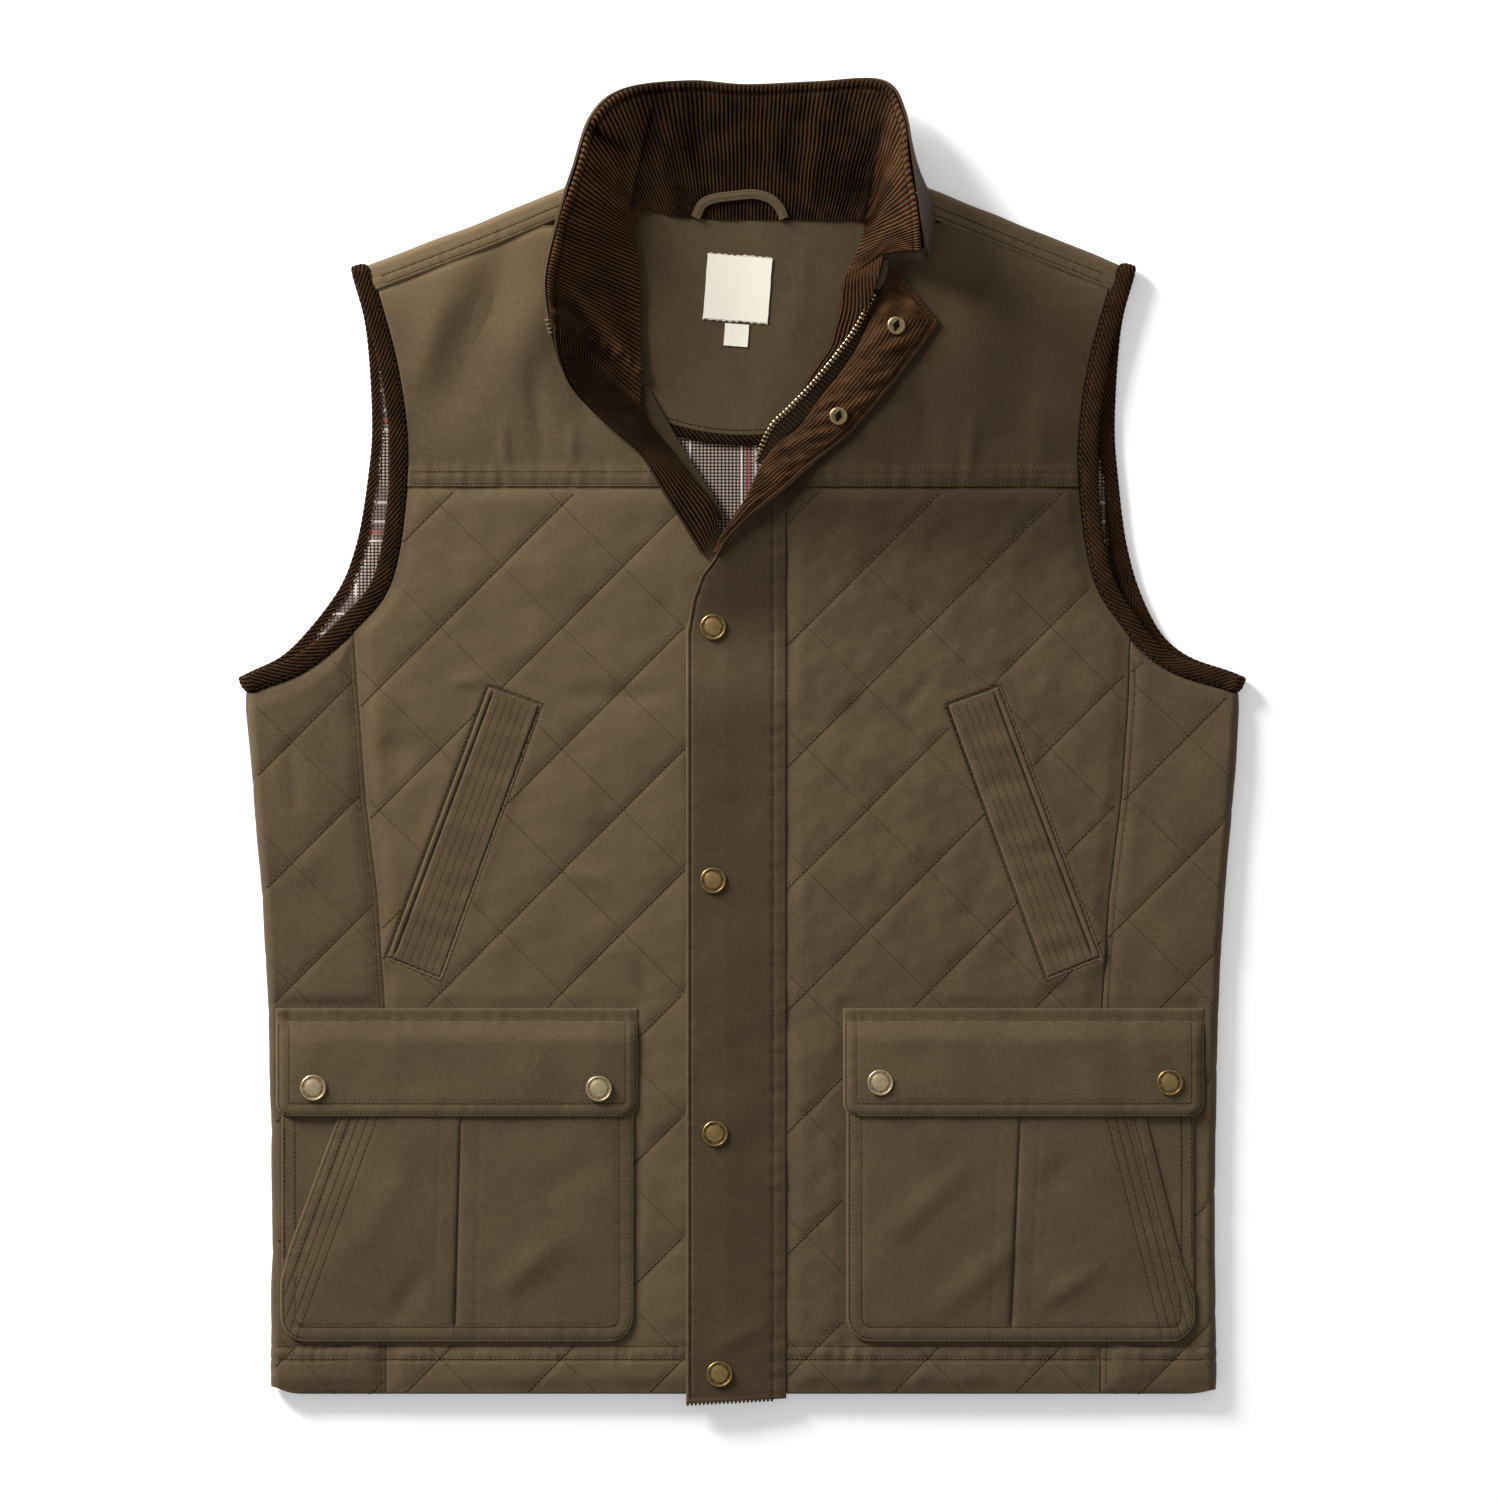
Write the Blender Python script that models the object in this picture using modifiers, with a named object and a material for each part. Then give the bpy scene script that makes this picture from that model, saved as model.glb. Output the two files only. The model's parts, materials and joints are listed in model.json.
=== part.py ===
"""A quilted canvas vest with a corduroy collar, laid flat on its back.

Every piece of cloth is a wall of its own, 0.3 mm from its neighbours at the seams.
Lengths are millimetres until a mesh is made, where MM turns them into metres.
x runs to the right, y toward the collar, z up from the surface the vest lies on.
"""

import math
from collections import namedtuple

import bmesh
import bpy
import numpy as np

MM = 0.001
SEAM_GAP = 0.3

# Heights of the layers above the surface, from the back up to the front
BACK_WALL = 3.4
LINING_Z = BACK_WALL + SEAM_GAP
LINING_WALL = 1.0
INSIDE_YOKE_Z = LINING_Z + LINING_WALL + SEAM_GAP
INSIDE_YOKE_WALL = 1.0
FRONT_Z = 7.0
FRONT_WALL = 2.6
QUILT_RISE = 2.2
OVERLAY_Z = FRONT_Z + FRONT_WALL + QUILT_RISE + SEAM_GAP

# Overall cut
HEM_Y = -375.0
PLACKET_END_Y = -380.5
YOKE_SEAM_Y = 146.0
FOLD_INNER = (FRONT_Z - BACK_WALL) / 2
FOLD_WALL = 3.0
FOLD_REACH = FOLD_INNER + FOLD_WALL
QUILT_PITCH = 70.0
QUILT_STEP = QUILT_PITCH / 4
LEFT = -1
RIGHT = 1

# Half width of the folded sides and of the side seams against y
SIDE_FOLD = ((-376, 271.8), (-281, 270.5), (-178, 272), (-126, 274), (-74, 277.5), (-22, 282), (60, 287))
SIDE_SEAM = ((-376, 205), (-152, 206), (-91, 210), (-34, 217), (55, 223.5), (90, 227))

# Free edge of the bound armholes from the shoulder to the underarm: half width, y
ARMHOLE_FRONT = ((224, 268), (210, 218), (204, 176), (204.5, 140), (212, 96), (229, 73), (256, 50), (284.5, 38.5))
ARMHOLE_BACK = ((225, 268), (217, 236), (213.5, 184), (215.5, 150), (221, 110), (232, 82), (258, 52), (284.5, 38.5))
ARMHOLE_ROWS = (56, 63, 71, 80, 91, 104)
BINDING_FRONT = 10.6
BINDING_BACK = 7.0
BINDING_WALL = 4.8

# Shoulder fold and back neck
NECK_HALF = 105.5
NECK_POINT_Y = 318.0
SHOULDER_SLOPE = 0.4
BACK_NECK_Y = 302.0
BACK_NECK_RISE = 11.0
FORWARD_SEAM_DROP = 17.0

# Inner edge of the front pieces against y; the left one turns in under the placket
LEFT_INNER = ((-376, -10), (100, -10), (122, -14), (130, -19), (146, -30), (151, -33.6), (166, -45),
              (179, -55.5), (190, -62), (236, -64), (310, -66))
RIGHT_INNER = ((146, 8), (153, 9), (167, 13), (183, 21), (198, 36), (215, 48), (235, 58), (254, 62),
               (282, 72), (310, 78))
PLACKET_LEFT = -33.0
PLACKET_RIGHT = 24.5
PLACKET_WALL = 2.2

# The collar, section by section from the left front end round the back to the right front end:
# top edge, lower edge of the lining, lower edge of the outer cloth, and how far the lining sags
CollarSection = namedtuple("CollarSection", "top lining_foot outer_foot sag")
COLLAR = (
    CollarSection((-110.5, 238, 33), (-59, 191.0, 10.5), (-98, 232, 11.4), 5),
    CollarSection((-112.4, 265, 42), (-59.5, 232, 10.0), (-103, 260, 11.0), 5),
    CollarSection((-107.5, 297, 46), (-61, 272, 9.5), (-104, 290, 10.6), 5),
    CollarSection((-99, 327, 44), (-62, 294, 8.5), (-103.4, 313.5, 6.0), 5),
    CollarSection((-89, 358, 33), (-55, 306.0, 7.0), (-90, 314.5, 3.0), 4),
    CollarSection((-70, 373.5, 21), (-40, 304.6, 5.2), (-60, 308.5, 2.0), 2),
    CollarSection((-31, 378.6, 12), (-22, 303.4, 4.6), (-26, 305.0, 1.8), 0),
    CollarSection((1, 376.5, 10), (1, 303.0, 4.6), (1, 304.2, 1.8), 0),
    CollarSection((41, 378, 12), (33, 304.0, 4.6), (37, 305.8, 1.8), 0),
    CollarSection((82, 378.2, 21), (58, 306.4, 5.4), (72, 309.6, 2.0), 2),
    CollarSection((94, 361, 34), (69, 305.0, 8.0), (92, 314.6, 3.0), 4),
    CollarSection((98.5, 330, 44), (70, 296, 9.5), (103.4, 313.5, 6.0), 5),
    CollarSection((101.5, 300, 46), (66, 281, 10.0), (104, 296, 10.4), 5),
    CollarSection((102, 277.5, 40), (57, 259, 10.5), (95, 279.5, 10.6), 4),
)
COLLAR_OUTER_WALL = 1.4
COLLAR_LINING_WALL = 1.8
COLLAR_ROWS = 7

# Strips at the opening, from the V upward: left edge, right edge (x, y, z of the underside), crown
Strip = namedtuple("Strip", "left right crown")
LAPEL_LEFT = (
    Strip((-23.7, 106.5, 12.2), (-14, 125.5, 12.2), 0.3),
    Strip((-37, 128, 12.2), (-18.7, 137.4, 11.6), 0.8),
    Strip((-45, 140.6, 12.2), (-24, 144.5, 11.2), 0.8),
    Strip((-58.5, 163.3, 10.4), (-34, 157, 10.4), 1.2),
    Strip((-71, 175.5, 10.4), (-41, 166, 10.4), 1.5),
    Strip((-86, 189, 11.5), (-48, 174.5, 10.4), 1.5),
    Strip((-98, 202.5, 15.5), (-53, 181, 10.4), 0),
    Strip((-106, 218, 24), (-56.5, 185.5, 10.8), -2.5),
    Strip((-109.7, 235.5, 32), (-58.8, 189.6, 11.2), -4.5),
)
LAPEL_RIGHT = (
    Strip((-23.5, 98.5, 14.7), (-20, 98.5, 14.7), 0),
    Strip((-18.5, 108, 14.7), (-12, 113.5, 14.7), 0.3),
    Strip((-10, 123, 14.7), (0, 126.8, 14.7), 0.5),
    Strip((0.9, 139, 14.7), (12, 136, 14.7), 0.5),
    Strip((6.6, 151.8, 14.7), (27.1, 148.4, 14.0), 0.5),
    Strip((13, 163, 11.5), (40, 160, 11.5), 1.0),
    Strip((20.4, 171, 10.2), (50, 168, 10.4), 2.0),
    Strip((31.7, 180, 10.2), (61.2, 177.7, 10.4), 2.5),
    Strip((47.4, 199.5, 10.2), (79, 198, 10.4), 3.0),
    Strip((60, 214, 10.2), (91, 213, 10.4), 3.0),
    Strip((69, 227.7, 10.2), (102, 227.5, 10.4), 3.0),
    Strip((75.5, 244, 10.2), (111, 240.5, 10.6), 3.0),
    Strip((78.8, 257, 10.4), (98.5, 255.5, 10.8), 2.0),
    Strip((80.5, 266.5, 10.8), (88.0, 267.5, 10.8), 0.5),
)
FACING_LEFT = (
    Strip((-12.9, 128.2, 8.6), (-11.4, 129, 8.4), 0),
    Strip((-23.2, 145, 8.6), (-20.6, 146, 8), 0),
    Strip((-33.2, 157.6, 8.4), (-28.3, 157.5, 7.6), 0),
    Strip((-40.2, 166.6, 8.4), (-34.5, 167.5, 7.4), 0),
    Strip((-47.2, 175, 8.4), (-39.5, 176, 7.2), 0),
    Strip((-52.2, 181.6, 8.4), (-43.5, 183, 7.2), 0),
    Strip((-57.2, 190.8, 8.4), (-48.5, 191.5, 7.2), 0),
    Strip((-57.6, 204, 8.2), (-55, 203, 7.6), 0),
)
FACING_RIGHT = (
    Strip((32, 199.6, 8.6), (34.4, 199.4, 9.0), 0),
    Strip((42.8, 215, 8.6), (50, 215, 10.8), 0),
    Strip((50.5, 226, 8.9), (58.6, 226, 11.4), 0),
    Strip((53, 236, 8.8), (65, 236, 11.6), 0.5),
    Strip((55.5, 247, 9.0), (71, 247, 12.0), 1.0),
    Strip((56.6, 256.4, 9.6), (76, 262.5, 15.0), 0),
)
ZIP_RIGHT = (
    Strip((5.5, 160, 10.2), (8.7, 158.8, 10.6), 0),
    Strip((8, 167.3, 10.4), (14.3, 167, 10.2), 0),
    Strip((15.8, 182.9, 11.2), (27.3, 178.8, 10.0), 0),
    Strip((25, 193, 11.4), (36.2, 187, 10.0), 0),
    Strip((37.7, 201.8, 11.6), (44.7, 200.2, 10.0), 0),
    Strip((49, 212.8, 11.8), (55.9, 212.4, 10.0), 0),
    Strip((59.5, 225, 12), (64.7, 225.2, 10.0), 0),
    Strip((67.4, 237.5, 12.2), (71.1, 239.2, 10.0), 0),
    Strip((75.2, 252.4, 12.4), (75.7, 252.8, 10.0), 0),
)
ZIP_LEFT = (
    Strip((-108.6, 214.5, 22.5), (-105.6, 214.8, 22.5), 0),
    Strip((-112.4, 231.5, 30.5), (-109.6, 231.9, 30.5), 0),
)
LAPEL_WALL = 2.4
FACING_WALL = 1.2
ZIP_WALL = 1.6
CLOSED_ZIP = ((-9.7, HEM_Y + 3), (6.0, 92.0))

# Pockets: half widths of the inner edge and of the slanting outer edge against y
POCKET_TOP_Y = -170.0
POCKET_FOOT_Y = -345.0
POCKET_CORNER = 15.0
POCKET_INNER = {LEFT: 63.0, RIGHT: 59.0}
POCKET_OUTER = {LEFT: 266.0, RIGHT: 259.5}
POCKET_SLANT = {
    LEFT: ((-346, 266), (-310, 266), (-291, 260.8), (-219, 234), (-170, 216)),
    RIGHT: ((-346, 259.5), (-318, 259.3), (-300, 252), (-216, 231), (-170, 219.4)),
}
POCKET_PLEAT = {LEFT: (161.3, 166.0), RIGHT: (160.7, 153.2)}
POCKET_BACK_WALL = 1.0
POCKET_FRONT_WALL = 1.6
POCKET_CROWN = 2.2
PLEAT_DEPTH = 2.0
FLAP_TOP_Y = -153.5
FLAP_FOOT_Y = -215.5
FLAP_INNER = {LEFT: 60.7, RIGHT: 57.2}
FLAP_OUTER = {LEFT: 268.5, RIGHT: 264.4}
FLAP_WALL = 2.2
FLAP_CORNER = 8.0

# Welts over the slanting hand pockets: corners as half width, y
WELT_CORNERS = ((204.4, -123.6), (146.3, 31.0), (117.6, 20.7), (174.5, -135.7))
WELT_WALL = 1.8

# Labels and hanging loop
LABEL_CENTRE = (-3.4, 260.0)
LABEL_SIZE = (37.0, 38.5)
LABEL_TURN = math.radians(-4.5)
TAB_CENTRE = (-4.2, 233.2)
TAB_SIZE = (13.8, 12.8)
LABEL_WALL = 0.6
LOOP_PATH = ((-27.5, 300.6), (-23.9, 308), (-17.5, 311.4), (-6, 313), (6, 314), (15.2, 311.4), (20.6, 306.6),
             (23.4, 300.2))
LOOP_WIDTH = 5.5
LOOP_WALL = 1.6

# Brass snaps
SNAP_RADIUS = 7.5
SNAP_RISE = 2.6
SOCKET_RADIUS = 6.2
SOCKET_HOLE = 2.6
SOCKET_RISE = 1.4
PLACKET_SNAPS = ((-17.5, 65.5), (-17.5, -80.0), (-16.4, -225.4), (-13.8, -363.4))
FLAP_SNAPS = {LEFT: ((247, -199), (83, -199.5)), RIGHT: ((78.5, -196), (244.7, -196))}
SOCKETS = ((87.7, 238.5, 15.9), (54.5, 186.5, 15.5))

# Quilting lines of each panel: where one rising and one falling line pass, as x - y and x + y
QUILT_PHASE = {"front_left": (-100, -38.8), "front_right": (40, 101.8),
               "side_left": (-252, -264), "side_right": (252, 264)}


def material(name, colour, metallic=0.0):
    made = bpy.data.materials.new(name)
    made.use_nodes = True
    shader = made.node_tree.nodes["Principled BSDF"]
    shader.inputs["Base Color"].default_value = (*colour, 1)
    shader.inputs["Metallic"].default_value = metallic
    made.diffuse_color = (*colour, 1)
    return made


def smooth(points, parts=6):
    """Points of a smooth curve through the given ones."""
    given = np.array(points, float)
    padded = np.vstack([2 * given[0] - given[1], given, 2 * given[-1] - given[-2]])
    curve = []
    for before, start, end, after in zip(padded, padded[1:], padded[2:], padded[3:]):
        for step in range(parts):
            t = step / parts
            curve.append(0.5 * (2 * start + (end - before) * t
                                + (2 * before - 5 * start + 4 * end - after) * t ** 2
                                + (3 * start - before - 3 * end + after) * t ** 3))
    curve.append(given[-1])
    return np.array(curve)


def inward(curve):
    """Unit normals of an armhole curve in plan, toward the body."""
    along = np.gradient(curve, axis=0)
    normals = np.stack([along[:, 1], -along[:, 0]], axis=1)
    return normals / np.linalg.norm(normals, axis=1, keepdims=True)


def value_at(table, key):
    keys, values = zip(*table)
    return float(np.interp(key, keys, values))


ARM_FRONT = smooth(ARMHOLE_FRONT)
ARM_BACK = smooth(ARMHOLE_BACK)
PANEL_FRONT = ARM_FRONT + inward(ARM_FRONT) * (BINDING_FRONT + SEAM_GAP)
PANEL_BACK = ARM_BACK + inward(ARM_BACK) * (BINDING_BACK + SEAM_GAP)
LINING_EDGE = ARM_BACK + inward(ARM_BACK) * (BINDING_BACK + 3.5)


def arm_half(edge, y):
    """Half width of a bound armhole edge at a height."""
    return float(np.interp(y, edge[::-1, 1], edge[::-1, 0]))


def arm_y(edge, half):
    """Height of an armhole edge over the underarm, where it runs outward."""
    low = int(np.argmin(edge[:, 0]))
    return float(np.interp(half, edge[low:, 0], edge[low:, 1]))


def shoulder_y(half):
    return NECK_POINT_Y - (half - NECK_HALF) * SHOULDER_SLOPE


def back_neck_y(x):
    return BACK_NECK_Y + BACK_NECK_RISE * (x / NECK_HALF) ** 2


def quilt(x, y, phase):
    """Share of the full rise of the wadding, nothing on the stitched lines."""
    rising = math.sin(math.pi * (x - y - phase[0]) / QUILT_PITCH)
    falling = math.sin(math.pi * (x + y - phase[1]) / QUILT_PITCH)
    return math.sqrt(abs(rising * falling))


def quilt_ticks(low, high, origin):
    """Grid lines that pass through the crossings of the quilting."""
    first = math.ceil((low - origin) / QUILT_STEP + 0.5)
    last = math.floor((high - origin) / QUILT_STEP - 0.5)
    return [origin + QUILT_STEP * n for n in range(first, last + 1)]


def snapped(low, high, ticks):
    """The ticks with both ends, pressed together where an end comes in past them."""
    least = 0.25 * QUILT_STEP
    count = len(ticks)
    inner = [min(max(t, low + (n + 1) * least), high - (count - n) * least) for n, t in enumerate(ticks)]
    return [low, *inner, high]


def mirrored(grid):
    return [[(-x, y, z) for x, y, z in reversed(row)] for row in grid]


def finish(name, mesh, cloth):
    mesh.materials.append(cloth)
    made = bpy.data.objects.new(name, mesh)
    bpy.context.scene.collection.objects.link(made)
    return made


def wall(name, grid, thickness, cloth, shares=None, flip=False):
    """An open surface through rows of points, thickened along its normals; None leaves a cell out."""
    made = bmesh.new()
    rows = [[made.verts.new([c * MM for c in p]) if p is not None else None for p in row] for row in grid]
    weight = {}
    for row, share_row in zip(rows, shares or grid):
        for vert, share in zip(row, share_row):
            weight[vert] = share
    for low, high in zip(rows, rows[1:]):
        for a, b, c, d in zip(low, low[1:], high[1:], high):
            if None in (a, b, c, d):
                continue
            if shares is None:
                faces = [(a, b, c, d)]
            elif weight[a] + weight[c] < weight[b] + weight[d]:
                faces = [(a, b, c), (a, c, d)]
            else:
                faces = [(a, b, d), (b, c, d)]
            for face in faces:
                made.faces.new(reversed(face) if flip else face)
    made.verts.index_update()
    listed = [(vert.index, weight[vert]) for row in rows for vert in row if vert is not None]
    mesh = bpy.data.meshes.new(name)
    made.to_mesh(mesh)
    made.free()
    built = finish(name, mesh, cloth)
    solid = built.modifiers.new("Wall", "SOLIDIFY")
    solid.thickness = thickness * MM
    solid.offset = 1
    if shares is not None:
        group = built.vertex_groups.new(name="thickness")
        for index, share in listed:
            group.add([index], share, "REPLACE")
        solid.vertex_group = "thickness"
    return built


def strip(name, table, thickness, cloth, steps=5):
    """A band of cloth across the rows of a table, crowned between its two edges."""
    grid = []
    for row in table:
        left = np.array(row.left, float)
        right = np.array(row.right, float)
        line = []
        for step in range(steps):
            s = step / (steps - 1)
            point = left + (right - left) * s
            point[2] += row.crown * math.sin(math.pi * s)
            line.append(tuple(point))
        grid.append(line)
    return wall(name, grid, thickness, cloth)


def plate(name, corners, z, thickness, cloth):
    """A flat four-cornered piece, corners in order round it."""
    a, b, c, d = [(x, y, z) for x, y in corners]
    return wall(name, [[a, b], [d, c]], thickness, cloth)


def turned(name, profile, place, metal, closed, steps=20):
    """A round metal piece turned from a profile of (radius, height) round its own axis."""
    mesh = bpy.data.meshes.new(name)
    verts = [(r * MM, 0, z * MM) for r, z in profile]
    edges = [(n, n + 1) for n in range(len(verts) - 1)]
    if closed:
        edges.append((len(verts) - 1, 0))
    mesh.from_pydata(verts, edges, [])
    made = finish(name, mesh, metal)
    made.location = [c * MM for c in place]
    screw = made.modifiers.new("Turn", "SCREW")
    screw.steps = steps
    screw.render_steps = steps
    screw.use_merge_vertices = True
    screw.merge_threshold = 0.00005
    return made


def front_outer(y):
    return min(value_at(SIDE_SEAM, y), arm_half(PANEL_FRONT, y)) - SEAM_GAP / 2


def build_front(side, cloth):
    """A quilted front: plain inside, wadding raised outside and pressed down along its edges."""
    name = "front_left" if side == LEFT else "front_right"
    phase = QUILT_PHASE[name]
    x_ticks = (quilt_ticks(-222, -12, sum(phase) / 2) if side == LEFT
               else quilt_ticks(PLACKET_RIGHT, 222, sum(phase) / 2))
    y_ticks = [HEM_Y + 13, HEM_Y + 25] + quilt_ticks(HEM_Y + 32, YOKE_SEAM_Y, (phase[1] - phase[0]) / 2)
    y_ticks = sorted(y_ticks + list(ARMHOLE_ROWS))
    grid, shares = [], []
    for y in snapped(HEM_Y, YOKE_SEAM_Y - SEAM_GAP, y_ticks):
        if side == LEFT:
            low, high = -front_outer(y), value_at(LEFT_INNER, y)
        else:
            low, high = PLACKET_RIGHT + SEAM_GAP, front_outer(y)
        xs = snapped(low, high, x_ticks)
        row = []
        for x in xs:
            edge = min(x - low, high - x, y - HEM_Y, YOKE_SEAM_Y - y, abs(y - HEM_Y - 25))
            fade = min(edge / QUILT_STEP, 1.0)
            row.append((FRONT_WALL + QUILT_RISE * fade * quilt(x, y, phase)) / (FRONT_WALL + QUILT_RISE))
        grid.append([(x, y, FRONT_Z) for x in xs])
        shares.append(row)
    wall(name, grid, FRONT_WALL + QUILT_RISE, cloth, shares)


def build_front_yoke(side, cloth):
    """The plain upper front, from the quilted panel up to the forward shoulder seam."""
    name = "front_yoke_left" if side == LEFT else "front_yoke_right"
    grid = []
    for t in np.linspace(0, 1, 9):
        row = []
        for s in np.linspace(0, 1, 8):
            y = YOKE_SEAM_Y
            for _ in range(8):
                inner = -value_at(LEFT_INNER, y) if side == LEFT else value_at(RIGHT_INNER, y)
                half = inner + s * (arm_half(PANEL_FRONT, y) - inner)
                top = shoulder_y(max(half, NECK_HALF + 12)) - FORWARD_SEAM_DROP
                y = YOKE_SEAM_Y + t * (top - YOKE_SEAM_Y)
            row.append((half, y, FRONT_Z))
        grid.append(row)
    wall(name, grid if side == RIGHT else mirrored(grid), FRONT_WALL, cloth)


def build_side(side, cloth):
    """A quilted side panel: from the front seam round the side fold to the back seam underneath."""
    name = "side_left" if side == LEFT else "side_right"
    phase = QUILT_PHASE["side_right"]
    x_ticks = quilt_ticks(222, 268, sum(phase) / 2)
    turn = [math.radians(a) for a in (0, 36, 72, 108, 144, 180)]
    backs = (0.15, 0.45, 0.75, 1.0)
    y_ticks = [HEM_Y + 13, HEM_Y + 25] + quilt_ticks(HEM_Y + 32, 52, (phase[1] - phase[0]) / 2)
    columns = len(x_ticks) + 1 + len(turn) + len(backs)
    grid, shares = [], []
    for n in range(len(y_ticks) + 2):
        row, share_row = [], []
        for column in range(columns):
            y = 0.0
            for _ in range(8):
                seam = value_at(SIDE_SEAM, y) + SEAM_GAP / 2
                centre = value_at(SIDE_FOLD, y) - FOLD_REACH
                front = snapped(seam, centre, x_ticks)[:-1]
                if column < len(front):
                    x, z, top = front[column], FRONT_Z, None
                    top = arm_y(PANEL_FRONT, x)
                elif column < len(front) + len(turn):
                    angle = turn[column - len(front)]
                    x = centre + FOLD_INNER * math.sin(angle)
                    z = (FRONT_Z + BACK_WALL) / 2 + FOLD_INNER * math.cos(angle)
                    share = angle / math.pi
                    top = arm_y(PANEL_FRONT, x) * (1 - share) + arm_y(PANEL_BACK, x) * share - 1.5
                else:
                    x = centre + (seam - centre) * backs[column - len(front) - len(turn)]
                    z, top = BACK_WALL, arm_y(PANEL_BACK, x)
                y = snapped(HEM_Y, top - 2 * SEAM_GAP, y_ticks)[n]
            row.append((x, y, z))
            if column < len(front):
                edge = min(x - seam, centre - x, y - HEM_Y, top - y, abs(y - HEM_Y - 25))
                fade = max(min(edge / QUILT_STEP, 1.0), 0.0)
                thick = FRONT_WALL + QUILT_RISE * fade * quilt(x, y, phase)
            elif column < len(front) + len(turn):
                share = turn[column - len(front)] / math.pi
                thick = FRONT_WALL + (BACK_WALL - FRONT_WALL) * share
            else:
                thick = BACK_WALL
            share_row.append(thick / (FRONT_WALL + QUILT_RISE))
        grid.append(row)
        shares.append(share_row)
    if side == LEFT:
        grid = mirrored(grid)
        shares = [list(reversed(row)) for row in shares]
    wall(name, grid, FRONT_WALL + QUILT_RISE, cloth, shares)


def back_half(y):
    return min(value_at(SIDE_SEAM, y) - SEAM_GAP / 2, arm_half(PANEL_BACK, y))


def build_back(cloth):
    """The back body, flat on the surface between the two side panels."""
    grid = []
    for y in (HEM_Y + 1, -260, -152, -121, -91, -62, -34, 10, 55, 68, 78, 86, 94, 103, 114, 128,
              YOKE_SEAM_Y - SEAM_GAP):
        grid.append([(back_half(y) * s, y, 0) for s in np.linspace(-1, 1, 5)])
    wall("back_body", grid, BACK_WALL, cloth)


def build_back_yoke(cloth):
    """The back yoke: flat below, with a tab at each shoulder that folds over to the forward seam."""
    normal = np.array([SHOULDER_SLOPE, 1]) / math.hypot(SHOULDER_SLOPE, 1)
    middle = [-70, -35, 0, 35, 70]
    tab_from = NECK_HALF + 8.0
    shares_across = (0, 0.3, 0.6, 0.85, 1)
    columns = ([(LEFT, s) for s in reversed(shares_across)] + [(0, x) for x in middle]
               + [(RIGHT, s) for s in shares_across])

    def shoulder_foot(half):
        on_fold = np.array([half, shoulder_y(half)])
        return on_fold - normal * FOLD_REACH

    grid, shares = [], []
    for t in np.linspace(0, 1, 7):
        row = []
        for side, where in columns:
            y = YOKE_SEAM_Y
            for _ in range(8):
                if side == 0:
                    x, top = where, back_neck_y(where)
                else:
                    edge = arm_half(PANEL_BACK, y) * (1 - t) + (arm_half(PANEL_FRONT, y) - 1.5) * t
                    half = tab_from + where * (edge - tab_from)
                    foot = shoulder_foot(half)
                    x, top = side * (half + (foot[0] - half) * t), foot[1]
                y = YOKE_SEAM_Y + t * (top - YOKE_SEAM_Y)
            row.append((x, y, BACK_WALL))
        grid.append(row)
        shares.append([1.0] * len(columns))
    last = grid[-1]
    strip_rows = [("turn", math.radians(a)) for a in (36, 72, 108, 144, 180)]
    strip_rows += [("flat", d) for d in (5.0, 10.8)]
    for kind, amount in strip_rows:
        row, share_row = [], []
        for (side, where), (x, y, z) in zip(columns, last):
            if side == 0:
                row.append(None)
                share_row.append(1.0)
                continue
            across = np.array([side * normal[0], normal[1]])
            if kind == "turn":
                plan = np.array([x, y]) + across * FOLD_INNER * math.sin(amount)
                height = (FRONT_Z + BACK_WALL) / 2 - FOLD_INNER * math.cos(amount)
                thick = BACK_WALL + (FRONT_WALL - BACK_WALL) * amount / math.pi
            else:
                plan = np.array([x, y]) - across * amount
                height, thick = FRONT_Z, FRONT_WALL
            row.append((plan[0], plan[1], height))
            share_row.append(thick / BACK_WALL)
        grid.append(row)
        shares.append(share_row)
    wall("back_yoke", grid, BACK_WALL, cloth, shares, flip=True)


def build_inside(check, canvas, corduroy):
    """Lining over the whole back, with the half-moon inside yoke and its binding on top of it."""
    grid = []
    for t in np.concatenate([np.linspace(0, 0.5, 5), np.linspace(0.56, 1, 14)]):
        row = []
        for s in np.linspace(-1, 1, 15):
            y = 0.0
            for _ in range(8):
                half = min(value_at(SIDE_FOLD, y) - FOLD_REACH - 1, arm_half(LINING_EDGE, y))
                x = s * half
                top = min(back_neck_y(x) - 1, shoulder_y(abs(x)) - FOLD_REACH - 6)
                y = HEM_Y + 6 + t * (top - HEM_Y - 6)
            row.append((x, y, LINING_Z))
        grid.append(row)
    wall("back_lining", grid, LINING_WALL, check)

    xs = np.linspace(-98, 98, 15)
    foot = [290 - 114 * math.sqrt(1 - (x / 125) ** 2) for x in xs]
    top = [back_neck_y(x) - 1 for x in xs]
    yoke = [[(x, low + t * (high - low), INSIDE_YOKE_Z) for x, low, high in zip(xs, foot, top)]
            for t in (0, 0.5, 1)]
    wall("inside_yoke", yoke, INSIDE_YOKE_WALL, canvas)
    edge = [[(x, low - drop, INSIDE_YOKE_Z) for x, low in zip(xs, foot)] for drop in (6.2, SEAM_GAP)]
    wall("inside_yoke_binding", edge, 1.6, corduroy)


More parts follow.
